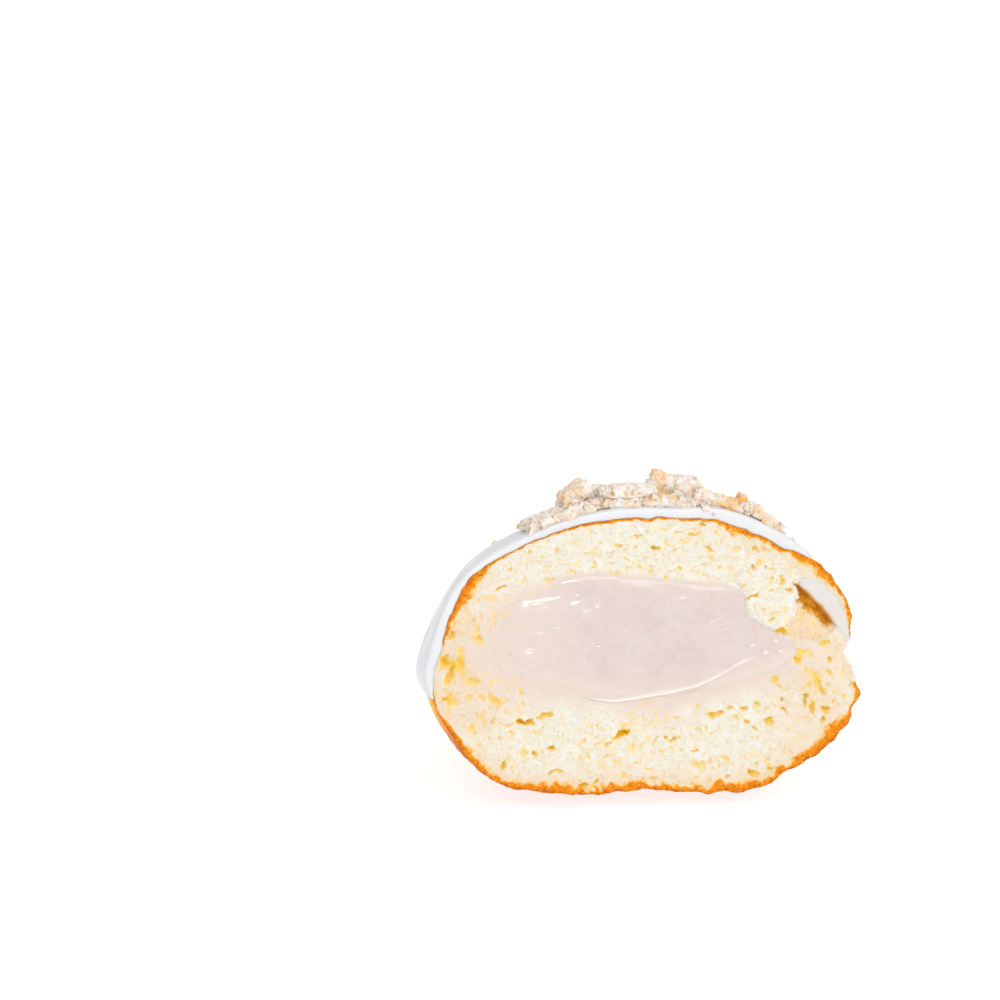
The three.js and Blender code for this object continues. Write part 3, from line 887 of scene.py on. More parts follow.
@dataclass(frozen=True)
class CrustTones:
    """Colours of fried crust from the browned base to the pale side."""

    brown: Colour = srgb(196, 104, 30)
    orange: Colour = srgb(240, 150, 40)
    golden: Colour = srgb(252, 196, 92)
    pale: Colour = srgb(249, 228, 172)
    patch: Colour = srgb(255, 226, 170)
    # Heights above the floor between which each tone gives way to the next, and how far they wave.
    turns: Knots = ((0.0, 7.0), (5.0, 13.0), (11.0, 21.0))
    wave_size: float = 9.0
    wave_height: float = 9.0
    # The crust is browner beside the cut: how far back in millimetres, and by how much height.
    rim_reach: float = 12.0
    rim_drop: float = 13.0

    def colour(self, shading: Shading) -> Socket:
        """Lays the crust's colour by height above the floor, with soft patches.

        Args:
            shading: The material's node tree.

        Returns:
            The colour.
        """
        place = shading.object_place()
        height = shading.node("SeparateXYZ", {0: place}).outputs["Z"]
        waves = shading.minus(shading.noise(self.wave_size, 3.0), 0.5)
        level = shading.plus(height, shading.times(waves, self.wave_height * STAND.scale))
        into = STAND.turn().col[1]
        cut = into.dot(Vector(STAND.shift))
        behind = shading.vector("DOT_PRODUCT", {0: place, 1: tuple(into)}, "Value")
        start, end, drop = (size * STAND.scale for size in (cut, cut + self.rim_reach, self.rim_drop))
        level = shading.minus(level, shading.step(behind, start, end, drop, 0.0))
        colour = self.brown
        for (low, high), tone in zip(self.turns, (self.orange, self.golden, self.pale)):
            colour = shading.tint(colour, tone, shading.step(level, low * STAND.scale, high * STAND.scale))
        richer = shading.blend(1.0, colour, self.patch, "MULTIPLY")
        return shading.blend(shading.mottled(4.0, 0.9), richer, colour)


@dataclass(frozen=True)
class CrumbFinish(Finish):
    """Finish of the cut: pale crumb with golden pores, tan creases and a hollow tinted as painted shade, an
    orange crust band and cream smeared on the crumb.
    """

    name: str = "cut_crumb"
    specular: float = 0.18
    tones: CrustTones = CrustTones()
    pale: Colour = srgb(235, 234, 229)
    straw: Colour = srgb(231, 226, 209)
    # Honey: painted shade in the foam's small pits, and warmer patches of the crumb's own tone.
    honey: Colour = srgb(240, 215, 154)
    # Tan painted as shade in the crumb's creases.
    crease_shade: Colour = srgb(238, 206, 142)
    peach: Colour = srgb(234, 208, 178)
    # Gold and deep gold of the pores: painted shade inside them, stronger where they are deeper, over the
    # crumb's own yellow.
    gold: Colour = srgb(247, 209, 108)
    deep: Colour = srgb(234, 180, 4)
    # Painted shade in the hollow, over the torn crumb's golden tone, with darker streaks under its roof.
    hollow_shade: Colour = srgb(238, 174, 54)
    roof_shade: Colour = srgb(188, 112, 12)
    smear: Colour = srgb(222, 206, 195)
    inner_band: Colour = srgb(248, 204, 120)
    band: Colour = srgb(240, 142, 0)
    band_dark: Colour = srgb(212, 104, 0)
    bright: Colour = srgb(252, 190, 60)
    crisp: Colour = srgb(166, 72, 6)
    relief_depth: float = 0.22

    def surface(self, shading: Shading) -> dict[str, Value]:
        """Colour, gloss and relief of the cut.

        Args:
            shading: The material's node tree.

        Returns:
            Values or sockets for the shader, by input name.
        """
        smear, crust, skin = (shading.layer(layer) for layer in (Layer.SMEAR, Layer.CRUST, Layer.TOAST))
        foam = shading.plus(shading.foamed(1.0), shading.foamed(0.48))
        creases = self.creases(shading, smear)
        patches = shading.times(shading.minus(shading.noise(1.2, 5.0, 0.78), 0.5), 1.8)
        crumb = self.crumb_colour(shading, foam, creases, smear)
        colour = self.banded(shading, crumb, crust, patches)
        gloss = shading.math("MAXIMUM", smear, shading.times(crust, 0.55))
        height = shading.minus(shading.grained(0.4, 0.3), shading.times(foam, 0.4))
        height = shading.plus(height, shading.times(crust, patches))
        height = shading.times(height, shading.step(smear, 0.0, 1.0, 1.0, 0.3))
        height = shading.minus(height, shading.times(creases, 0.2))
        height = shading.times(height, shading.step(skin, 0.0, 1.0, 1.0, 0.35))
        return {
            "Base Color": shading.tint(colour, self.tones.colour(shading), skin),
            "Roughness": shading.step(gloss, 0.0, 1.0, 0.82, 0.32),
            "Normal": shading.bump(height, self.relief_depth, 0.9),
        }

    def creases(self, shading: Shading, smear: Socket) -> Socket:
        """Thin creases between the crumb's fibres, fainter where cream is smeared over them.

        Args:
            shading: The material's node tree.
            smear: How much cream lies on the crumb.

        Returns:
            How deep the creases are.
        """
        line = shading.math("ABSOLUTE", shading.minus(shading.noise(2.2, 4.0, 0.62, 0.8), 0.5))
        line = shading.step(line, 0.0, 0.016, 1.0, 0.0)
        line = shading.times(line, shading.step(shading.noise(3.1), 0.42, 0.58))
        return shading.times(line, shading.step(smear, 0.0, 0.5, 0.6, 0.0))

    def crumb_colour(self, shading: Shading, foam: Socket, creases: Socket, smear: Socket) -> Socket:
        """Lays the crumb's colour with painted shade in its pores, creases and hollow, and the cream smeared
        over it.

        Args:
            shading: The material's node tree.
            foam: Depth of the foam.
            creases: Strength of the creases, tinted tan as painted shade.
            smear: Share of cream over the crumb.

        Returns:
            The colour.
        """
        pore, hollow_shade = shading.layer(Layer.PORE), shading.layer(Layer.HOLLOW_SHADE)
        warm = shading.step(shading.noise(1.5, 4.0, 0.6), 0.5, 0.72)
        # Honey over the foam's pits is painted shade in them; the noise patches are the crumb's own warmer
        # tone.
        warm = shading.plus(shading.times(foam, 0.42), shading.times(warm, 0.55), True)
        colour = shading.blend(shading.mottled(2.2, 0.45), self.straw, self.pale)
        for tone, share in (
            (self.honey, warm), (self.crease_shade, creases),
            (self.peach, shading.layer(Layer.PEACH)),
            (self.smear, smear),
            # Gold and deep gold are painted shade in the pores.
            (self.gold, shading.step(pore, 0.0, 0.6)),
            (self.deep, shading.step(pore, 0.5, 1.0)),
            (self.hollow_shade, hollow_shade),
        ):
            colour = shading.tint(colour, tone, share)
        # Painted shade: darker streaks where the hollow is deepest, under its roof.
        streaks = shading.step(shading.noise(1.1, 3.0), 0.4, 0.62)
        return shading.tint(colour, self.roof_shade, shading.times(shading.step(hollow_shade, 0.75, 1.0), streaks), 0.6)

    def banded(self, shading: Shading, crumb: Socket, crust: Socket, patches: Socket) -> Socket:
        """Lays the crust band and its bright and crisp flecks over the crumb's colour.

        Args:
            shading: The material's node tree.
            crumb: Colour of the crumb.
            crust: Share of the crust band.
            patches: Browner and paler patches, around 0.

        Returns:
            The colour.
        """
        browned = shading.plus(crust, patches)
        on_band = shading.step(crust, 0.25, 0.6)
        colour = shading.tint(crumb, self.inner_band, shading.step(crust, 0.0, 0.3))
        colour = shading.tint(colour, self.band, shading.step(browned, 0.22, 0.5))
        colour = shading.tint(colour, self.band_dark, shading.step(browned, 0.7, 1.15))
        bright = shading.times(on_band, shading.step(shading.noise(0.55), 0.54, 0.66))
        crisp = shading.times(on_band, shading.step(shading.noise(0.75), 0.55, 0.68))
        return shading.tint(shading.tint(colour, self.bright, bright, 0.55), self.crisp, crisp, 0.5)


@dataclass(frozen=True)
class SkinFinish(Finish):
    """Finish of the fried crust behind the cut."""

    name: str = "crust_skin"
    specular: float = 0.22
    tones: CrustTones = CrustTones()

    def surface(self, shading: Shading) -> dict[str, Value]:
        """Colour, satin gloss and fine grain of the crust.

        Args:
            shading: The material's node tree.

        Returns:
            Values or sockets for the shader, by input name.
        """
        return {
            "Base Color": self.tones.colour(shading),
            "Roughness": shading.drift(1.5, 0.38, 0.6),
            "Normal": shading.bump(shading.grained(0.8, 0.35), 0.12, 0.7),
        }


@dataclass(frozen=True)
class CreamFinish(Finish):
    """Finish of the glossy cream, warmer where it is thin, with a pale painted highlight along its lip."""

    name: str = "cream"
    glow_reach: tuple[float, float, float] = (1.0, 0.6, 0.4)
    glow_scale: float = 1.2
    cream: Colour = srgb(209, 193, 187)
    light: Colour = srgb(216, 202, 196)
    warm: Colour = srgb(222, 206, 195)
    # Painted highlight along the lip.
    lip: Colour = srgb(242, 234, 230)
    speck: Colour = srgb(214, 172, 150)

    def surface(self, shading: Shading) -> dict[str, Value]:
        """Colour, gloss and slight unevenness of the cream.

        Args:
            shading: The material's node tree.

        Returns:
            Values or sockets for the shader, by input name.
        """
        thin = shading.layer(Layer.SMEAR)
        colour = shading.blend(shading.mottled(7.0, 1.6), self.cream, self.light)
        colour = shading.tint(colour, self.warm, thin)
        colour = shading.tint(colour, self.speck, shading.specked(1.1, 0.02), 0.4)
        # Painted highlight: a pale line along the lip.
        colour = shading.tint(colour, self.lip, shading.layer(Layer.PAINTED_LIGHT_AND_SHADE), 0.7)
        return {
            "Base Color": colour,
            "Roughness": shading.plus(shading.drift(3.0, 0.08, 0.18), shading.times(thin, 0.08)),
            "Normal": shading.bump(shading.noise(0.9, 3.0, 0.5, 0.6), 0.04, 0.5),
        }


@dataclass(frozen=True)
class IcingFinish(Finish):
    """Finish of the satin white icing, with a few cinnamon specks and orange painted shade on the run's wall
    that faces the hollow.
    """

    name: str = "icing"
    glow_reach: tuple[float, float, float] = (1.0, 0.8, 0.7)
    glow_scale: float = 1.5
    white: Colour = srgb(222, 223, 224)
    cool: Colour = srgb(217, 219, 222)
    speck: Colour = srgb(176, 120, 96)
    # Painted shade on the wall of the run that faces the hollow.
    rim: Colour = srgb(226, 156, 54)

    def surface(self, shading: Shading) -> dict[str, Value]:
        """Colour, satin gloss and slight unevenness of the icing.

        Args:
            shading: The material's node tree.

        Returns:
            Values or sockets for the shader, by input name.
        """
        colour = shading.blend(shading.mottled(11.0, 3.0), self.cool, self.white)
        colour = shading.tint(colour, self.speck, shading.specked(1.9, 0.025), 0.45)
        return {
            # Painted shade in orange on the run's wall that faces the hollow.
            "Base Color": shading.tint(colour, self.rim, shading.layer(Layer.PAINTED_LIGHT_AND_SHADE)),
            "Roughness": shading.drift(5.0, 0.28, 0.42),
            "Normal": shading.bump(shading.noise(2.2, 3.0), 0.05, 0.5),
        }


@dataclass(frozen=True)
class CerealFinish(Finish):
    """Finish of the toasted cereal: pale flakes with golden-brown specks, dark dots and toasted patches."""

    name: str = "cereal"
    glow_reach: tuple[float, float, float] = (1.0, 0.75, 0.5)
    glow_scale: float = 0.8
    roughness: float = 0.8
    pale: Colour = srgb(236, 233, 228)
    warm: Colour = srgb(233, 220, 204)
    toast: Colour = srgb(236, 178, 100)
    speck: Colour = srgb(212, 142, 66)
    dark: Colour = srgb(120, 70, 40)

    def surface(self, shading: Shading) -> dict[str, Value]:
        """Colour and dry, pitted grain of the cereal.

        Args:
            shading: The material's node tree.

        Returns:
            Values or sockets for the shader, by input name.
        """
        colour = shading.blend(shading.mottled(2.6, 0.6), self.warm, self.pale)
        colour = shading.tint(colour, self.toast, shading.layer(Layer.TOAST))
        colour = shading.tint(colour, self.speck, shading.specked(0.62, 0.36), 0.75)
        colour = shading.tint(colour, self.dark, shading.specked(1.3, 0.08), 0.5)
        grain = shading.grained(0.5, 0.6)
        return {"Base Color": colour, "Roughness": self.roughness, "Normal": shading.bump(grain, 0.11, 0.9)}


@dataclass(frozen=True)
class FloorFinish(Finish):
    """Finish of the pale floor, which glows a little so that it stays near white."""

    name: str = "floor"
    specular: float = 0.1
    glow_weight: float = 0.0
    roughness: float = 0.9
    emission: float = 0.78
    grey: Colour = srgb(158, 158, 160)
    light_grey: Colour = srgb(162, 162, 162)

    def surface(self, shading: Shading) -> dict[str, Value]:
        """Colour and glow of the floor.

        Args:
            shading: The material's node tree.

        Returns:
            Values or sockets for the shader, by input name.
        """
        return {
            "Base Color": shading.blend(shading.noise(40.0), self.grey, self.light_grey),
            "Roughness": self.roughness,
            "Emission Color": WHITE_LIGHT,
            "Emission Strength": self.emission,
        }


# The cut


@dataclass(frozen=True)
class Pore:
    """A pore that opens in the cut: place, half sizes, turn in degrees, depth and softness of its edge."""

    x: float
    z: float
    half_length: float
    half_height: float
    turn: float
    depth: float
    softness: float = 0.0


# Edge of the cream as it shows in the cut, from its upper left end clockwise.
CREAM_EDGE = (
    (-26.5, 14.2), (-21.5, 16.0), (-18.6, 17.9), (-10.5, 18.8), (-2.4, 18.1), (7.9, 17.0), (14.1, 16.5),
    (17.3, 15.5), (19.0, 13.5), (19.5, 11.1), (22.7, 8.4), (25.9, 6.9), (29.1, 5.9), (30.4, 4.3),
    (29.8, 2.3), (28.2, 0.3), (25.1, -1.1), (19.9, -2.6), (14.7, -4.4), (6.5, -6.2), (-1.7, -6.4),
    (-10.0, -5.5), (-17.1, -3.7), (-22.2, -2.4), (-28.2, -0.7), (-30.9, 1.5), (-31.7, 4.5), (-30.4, 8.4),
    (-29.5, 11.3),
)
CREAM_CENTRE = (-1.0, 5.5)
# Lobe of crumb that hangs over the right end of the cream.
LOBE_EDGE = (
    (17.0, 17.6), (18.6, 14.6), (19.3, 11.4), (22.4, 8.7), (25.6, 7.2), (28.0, 7.3), (28.9, 9.0),
    (29.9, 11.0), (30.0, 13.3), (30.0, 16.6), (26.0, 19.5), (20.5, 20.0),
)
# Hollow that the filling hole leaves behind the run of icing.
HOLLOW_EDGE = (
    (30.2, 16.9), (33.4, 15.4), (36.2, 13.4), (38.3, 11.4), (39.2, 9.4), (38.6, 7.2), (35.5, 5.2),
    (31.2, 5.2), (28.0, 6.5), (26.4, 7.0), (28.4, 7.9), (29.6, 9.6), (30.2, 10.9), (30.3, 13.3),
)
# Upper side of the hollow, where it is deepest.
HOLLOW_ROOF = ((30.4, 15.6), (32.6, 13.9), (34.8, 12.2), (36.6, 10.6), (37.6, 9.6))


@dataclass(frozen=True)
class CutRelief:
    """Relief and colour layers of the cut crumb, laid on a fine lattice of points."""

    step: float = 0.125
    left: float = -48.0
    right: float = 48.0
    low: float = -28.0
    high: float = 34.0
    slits: int = 1500
    wide_slits: int = 110
    patches: int = 260
    depth_share: float = 0.44
    # Heights of the crumb's coarse, fine and layered relief, and how unevenly all edges are warped.
    coarse_relief: float = 0.24
    fine_relief: float = 0.07
    layered_relief: float = 0.12
    warp: float = 0.55
    fine_warp: float = 0.36
    fray: float = 0.3
    pores: tuple[Pore, ...] = rows_of(Pore, (
        # left end
        (-41.0, 2.0, 2.0, 1.0, -22, 2.2, 0.8), (-41.3, 3.0, 0.9, 0.45, 60, 1.6, 0.3),
        (-40.2, -0.4, 2.6, 0.95, 74, 2.2, 0.7), (-38.4, 1.6, 1.0, 2.0, 0, 2.0, 0.6),
        (-38.7, 2.6, 0.8, 0.45, 20, 1.8, 0.2), (-38.1, 4.1, 1.2, 0.9, 60, 1.0, 0.8),
        (-37.6, -0.6, 1.4, 0.5, 70, 0.9, 0.8), (-35.9, -1.8, 1.8, 1.1, -12, 0.9, 0.9),
        (-34.7, -1.5, 0.8, 0.5, -40, 1.1, 0.5), (-31.6, -5.1, 1.6, 0.9, -55, 1.3, 0.7),
        (-30.9, -5.6, 1.0, 0.45, -60, 1.5, 0.3), (-29.9, -5.6, 0.7, 0.5, 0, 0.6, 0.9),
        (-26.3, -3.2, 0.9, 0.4, 10, 1.3, 0.4), (-25.8, -4.1, 0.8, 0.32, -60, 1.6, 0.2),
        (-40.0, -5.6, 2.1, 1.3, -55, 1.2, 0.9), (-40.8, -5.7, 1.4, 0.35, -48, 1.8, 0.2),
        (-40.0, 7.4, 1.0, 0.42, 40, 1.9, 0.15), (-39.5, 9.3, 1.4, 0.3, 70, 1.0, 0.5),
        (-35.0, 7.8, 2.0, 0.85, 84, 1.0, 0.5), (-34.2, 6.3, 1.2, 0.5, -76, 2.2, 0.3),
        (-35.6, 6.6, 0.9, 0.3, 88, 1.4, 0.3), (-32.2, 9.8, 3.2, 0.55, 68, 0.7, 0.8),
        (-31.3, 9.6, 0.5, 0.25, 75, 1.2), (-29.4, 10.6, 0.7, 0.35, -75, 1.2, 0.3),
        (-32.5, 14.4, 2.2, 0.7, 4, 0.7, 0.9), (-33.6, 14.5, 0.5, 0.4, 80, 0.8, 0.4),
        (-31.5, 14.9, 0.6, 0.3, 60, 0.8, 0.4), (-30.9, 16.5, 0.5, 0.25, 50, 1.6, 0.1),
        (-30.2, 16.7, 0.8, 0.22, 4, 1.8, 0.1), (-28.8, 14.9, 0.8, 0.35, 50, 0.7, 0.6),
        (-34.4, 10.6, 0.8, 0.35, 80, 0.8, 0.5), (-36.4, 10.0, 0.6, 0.25, 40, 0.9),
        (-20.4, 17.8, 1.0, 0.3, 20, 1.1), (-34.0, -5.0, 0.9, 0.6, 60, 0.8), (-36.6, -4.9, 0.7, 0.4, 70, 0.9),
        (-28.9, -5.5, 0.6, 0.5, 0, 0.9),
        # below the cream
        (-24.9, -10.0, 2.0, 0.6, -16, 3.0), (-21.2, -8.9, 1.6, 0.55, 6, 1.9),
        (-28.4, -10.7, 1.1, 0.5, 25, 0.7), (-31.2, -9.6, 0.7, 0.5, 60, 0.9),
        (-5.5, -12.9, 2.1, 0.62, 30, 3.2), (-8.0, -14.7, 0.7, 0.35, 24, 1.4),
        (-19.3, -15.1, 0.85, 0.6, 24, 2.3), (-23.0, -16.5, 0.8, 0.5, -35, 2.0),
        (-25.1, -15.7, 0.8, 0.7, 40, 0.8), (-19.1, -20.1, 1.5, 0.4, 14, 1.4),
        (-29.4, -18.5, 1.0, 0.4, 28, 1.7), (-10.4, -13.4, 1.0, 0.5, 10, 0.7),
        (-13.4, -14.3, 0.6, 0.5, 60, 0.8), (-12.8, -22.9, 1.3, 0.5, -8, 2.6),
        (-10.4, -22.3, 0.9, 0.3, 38, 2.2), (-8.4, -16.9, 1.1, 0.3, 24, 0.9), (-6.4, -18.4, 0.9, 0.4, 5, 0.8),
        (-14.0, -17.2, 0.6, 0.6, 0, 0.7),
        # below right
        (13.2, -9.6, 1.3, 0.5, -10, 1.9), (14.7, -9.2, 1.0, 0.45, 36, 1.7), (10.0, -7.6, 0.7, 0.4, 30, 1.2),
        (17.1, -7.9, 0.7, 0.4, -10, 1.4), (19.9, -8.5, 0.5, 0.5, 60, 1.6), (22.3, -7.4, 0.8, 0.7, 0, 1.0),
        (5.7, -9.4, 1.0, 0.35, 0, 1.2), (24.8, -11.1, 0.95, 0.85, -30, 1.9), (20.7, -10.8, 0.6, 0.5, 0, 1.5),
        (22.1, -12.2, 1.0, 0.3, -40, 1.1), (18.3, -10.0, 0.7, 0.5, -30, 0.8),
        (11.0, -19.4, 1.4, 1.0, -45, 0.9), (9.9, -16.4, 0.6, 0.3, 10, 2.1), (3.9, -13.8, 0.4, 0.3, 0, 1.7),
        (5.3, -13.8, 0.6, 0.3, 30, 1.5), (16.7, -21.7, 0.8, 0.3, 5, 1.4), (22.3, -21.3, 1.3, 0.6, -20, 1.9),
        (25.7, -20.6, 0.8, 0.45, 0, 1.7), (28.0, -6.8, 0.6, 0.5, 0, 1.4), (28.3, -9.0, 1.0, 0.35, -60, 1.3),
        (30.9, -18.9, 0.9, 0.5, 30, 1.4),
        # right end
        (26.6, 7.2, 2.3, 0.55, 14, 3.4, 0.2), (36.5, 4.5, 0.9, 0.75, -5, 1.8, 0.4),
        (35.6, 4.7, 0.5, 0.4, 0, 1.2, 0.6), (31.0, 2.6, 2.1, 0.6, 4, 2.0, 0.5),
        (31.0, 1.5, 1.2, 0.7, -52, 3.0, 0.5), (33.0, 2.3, 1.6, 0.6, 4, 0.9, 0.9),
        (37.3, 1.1, 0.9, 0.5, 40, 1.4, 0.5), (26.2, -2.6, 1.1, 0.6, -55, 2.2, 0.3),
        (27.2, -4.3, 0.9, 0.3, -40, 1.4, 0.4), (28.6, -4.6, 1.0, 0.25, 10, 1.0, 0.5),
        (30.2, -3.2, 0.9, 0.25, 75, 0.8, 0.5), (32.6, -0.9, 1.5, 0.7, -60, 1.0, 0.9),
        (34.6, -2.2, 2.2, 1.0, -55, 1.0, 0.9), (35.3, -3.4, 1.7, 0.6, -62, 1.5, 0.5),
        (36.4, -5.1, 1.2, 0.5, -60, 1.5, 0.5), (33.0, -4.1, 2.0, 0.7, 40, 0.9, 0.9),
        (37.6, -1.7, 1.5, 0.45, -50, 1.1, 0.6), (32.8, -7.3, 1.4, 0.38, -82, 2.0, 0.2),
        (34.4, -8.7, 1.5, 0.4, -84, 1.7), (37.1, -8.6, 0.9, 0.5, 50, 1.9), (36.2, -11.0, 0.8, 0.55, 50, 1.9),
        (27.6, 15.4, 0.7, 0.4, -20, 1.3), (28.5, 15.0, 0.6, 0.4, -15, 1.7), (24.8, 9.6, 0.9, 0.3, 14, 1.1),
        (22.9, 11.8, 0.5, 0.25, 20, 1.2), (19.9, 13.8, 1.9, 0.28, 22, 1.5), (25.6, 11.0, 1.0, 0.25, 30, 0.7),
        # along the top
        (26.8, 17.1, 0.8, 0.45, -20, 1.4), (29.5, 16.9, 0.35, 0.3, 0, 2.2), (21.2, 20.1, 0.45, 0.4, 0, 1.5),
        (23.5, 20.1, 0.4, 0.35, 0, 1.5), (24.7, 19.4, 0.8, 0.4, 10, 0.8), (-6.9, 24.5, 0.7, 0.25, 14, 1.3),
        (0.3, 24.0, 1.1, 0.42, 2, 2.0), (12.1, 23.6, 0.9, 0.5, -10, 1.3), (8.7, 26.7, 1.4, 0.32, -3, 1.2),
        (5.6, 26.8, 0.8, 0.3, 2, 1.0), (16.7, 26.4, 0.8, 0.3, -12, 1.3), (19.0, 26.2, 1.3, 0.32, -22, 1.9),
        (21.4, 23.4, 0.9, 0.35, -26, 1.3), (-3.2, 26.5, 0.8, 0.25, 6, 1.0), (10.3, 28.4, 0.9, 0.35, -6, 1.6),
        (26.4, 17.9, 0.6, 0.4, 0, 1.2), (23.3, 23.5, 1.3, 0.35, -32, 0.9), (17.5, 23.7, 0.8, 0.5, -30, 0.8),
    ))
    # Thickness of the crust band in the cut by heading.
    band: Knots = (
        (-178, 0.0), (-173, 0.3), (-160, 0.8), (-146, 1.4), (-128, 2.0), (-108, 1.9), (-96, 1.6), (-80, 1.4),
        (-64, 1.9), (-50, 2.0), (-38, 1.5), (-26, 1.9), (-19, 2.2), (-14.5, 1.5), (-12, 0.4), (-8, 0.9),
        (-6, 0.9), (-4, 0.0), (7, 0.0), (9, 0.8), (14, 1.1), (20, 1.2), (27, 1.5), (33, 1.5), (38, 0.9),
        (46, 1.0), (54, 0.75), (70, 0.65), (84, 0.55), (96, 0.4), (110, 0.35), (124, 0.35), (146, 0.4),
        (150, 0.8), (154, 1.7), (160, 1.6), (163, 0.8), (168, 0.6), (172, 0.2), (174, 0.0),
    )
    # How far cream is smeared out from the cream's edge, by heading round its middle.
    smear_reach: Knots = (
        (-175, 6.5), (-160, 6.0), (-140, 3.8), (-115, 2.8), (-100, 4.8), (-80, 5.4), (-60, 4.6), (-40, 3.2),
        (-15, 5.0), (0, 6.0), (8, 1.2), (40, 0.6), (90, 0.8), (130, 0.8), (150, 2.0), (165, 4.5), (175, 6.5),
    )
    lobe_rise: float = 0.9
    hollow_floor: float = 0.6
    hollow_depth: float = 2.8
    roof_points: int = 12
    # How far the crumb lies back under the cream.
    under_cream: float = 1.7

    def lay(self) -> dict[str, Array]:
        """Lays relief, pore colour with its painted shade, smear, peach and the hollow's painted shade on
        the lattice.

        Returns:
            The laid fields by name; relief is in millimetres into the dough.
        """
        across = np.arange(self.left, self.right, self.step)
        x, z = np.meshgrid(across, np.arange(self.low, self.high, self.step))
        noise = Lattice(SEED)
        warp_x = x + self.warp * noise.at(1.3, x, 5.0, z) + self.fine_warp * noise.at(0.5, x, 8.0, z)
        warp_z = z + self.warp * noise.at(1.3, x, 25.0, z) + self.fine_warp * noise.at(0.5, x, 28.0, z)
        cream = signed_distance(x, z, smooth_outline(CREAM_EDGE))
        turn = heading_of(x - CREAM_CENTRE[0], z - CREAM_CENTRE[1])
        reach = by_heading(self.smear_reach, turn) * (1 + 0.35 * noise.folds(3.2, 2, x, 40.0, z))
        smear = ease(0.0, 1.3, 1.35 - cream / np.maximum(reach, 0.3))
        fields = {"depth": np.zeros_like(x), "pore": np.zeros_like(x)}
        self.scatter(fields, warp_x, warp_z, smear)
        for pore in self.pores:
            # A pore's gold grows with its depth: painted shade and glow inside the pore, over the crumb's
            # own yellow.
            self.dig(fields, warp_x, warp_z, pore, min(1.0, 0.16 + pore.depth / 4.2))
        frayed = self.fray * noise.folds(0.9, 2, x, 90.0, z)
        lobe = signed_distance(warp_x, warp_z, smooth_outline(LOBE_EDGE)) + frayed
        hollow = signed_distance(warp_x, warp_z, smooth_outline(HOLLOW_EDGE, 4)) + 0.6 * frayed
        roof = read_line(np.array(HOLLOW_ROOF), np.linspace(0, len(HOLLOW_ROOF) - 1, self.roof_points))
        away = np.min([np.hypot(x - px, z - pz) for px, pz in roof], axis=0)
        open_hollow = ease(0.0, 0.5, -hollow)
        deep = ease(2.5, 0.6, away + 0.9 * noise.folds(1.4, 3, x, 95.0, z))
        layered = ease(0.3, 0.8, 1 - np.abs(noise.folds((3.4, 1.0, 0.9), 2, x, 70.0, z)))
        relief = self.coarse_relief * noise.folds(2.4, 4, x, 60.0, z)
        relief = relief + self.fine_relief * noise.at(0.4, x, 66.0, z) - self.layered_relief * layered
        dug = fields["depth"]
        relief = relief * (1 - 0.5 * smear) + dug * (1 - 0.5 * smear * ease(2.2, 1.2, dug))
        relief = relief + open_hollow * mix(self.hollow_floor, self.hollow_depth, deep)
        behind = relief + self.under_cream * ease(1.0, 1.9, -cream)
        proud = relief - self.lobe_rise * np.sqrt(ease(-0.1, 1.3, -lobe))
        relief = mix(behind, proud, ease(-0.25, 0.1, -lobe))
        left_side = ease(-22, -34, x) * ease(16, 8, z) * ease(-18, -3, z)
        right_side = 0.7 * ease(20, 32, x) * ease(9, 3, z)
        uneven = 1 + 0.5 * noise.folds(4.0, 2, x, 80.0, z)
        peach = np.clip(0.75 * (left_side + right_side) * uneven, 0, 1)
        # Painted shade of the hollow: peach on its floor, gold and a darker tone nearer its roof.
        floor = open_hollow * ease(0.3, 0.0, deep)
        fields["pore"] *= 1 - 0.25 * smear
        return {
            "relief": relief,
            "pore": np.maximum(fields["pore"], open_hollow * mix(0.12, 0.8, deep)),
            "smear": np.clip(smear * ease(0.5, -0.5, -lobe) * (1 - open_hollow), 0, 1),
            "peach": np.maximum(peach, floor * 0.8),
            "hollow_shade": open_hollow * ease(0.25, 0.9, deep),
        }

    def scatter(self, fields: dict[str, Array], x: Array, z: Array, smear: Array) -> None:
        """Digs many small slits that lie along the crust, and tints soft patches.

        Args:
            fields: Depth and pore colour, changed in place.
            x: Warped places to the right.
            z: Warped places upwards.
            smear: Not used.
        """
        draws = np.random.default_rng(SEED)
        for i in range(self.slits + self.wide_slits + self.patches):
            heading = draws.uniform(-180, 180)
            inward = draws.uniform(1.0, 18.0)
            radius = DOUGH.outline_radius(np.array(heading)) - inward
            size = 0.2 + 0.42 * draws.power(1.0) ** 2.5
            slim = draws.uniform(0.35, 0.85)
            turn = heading + 90 + draws.normal(0, 24)
            tint = draws.uniform(0.12, 0.5)
            softness = draws.uniform(0.2, 0.9)
            depth = size * draws.uniform(0.5, 1.4)
            if i >= self.slits + self.wide_slits:
                size, slim, depth, softness, tint = 3.0 * size, 0.7, 0.15, 1.0, 0.4 * tint
            elif i >= self.slits:
                size, depth = 1.9 * size, 1.3 * depth
            place = radius * cos_deg(heading), radius * sin_deg(heading)
            self.dig(fields, x, z, Pore(*place, size, size * slim, turn, depth, softness), tint)

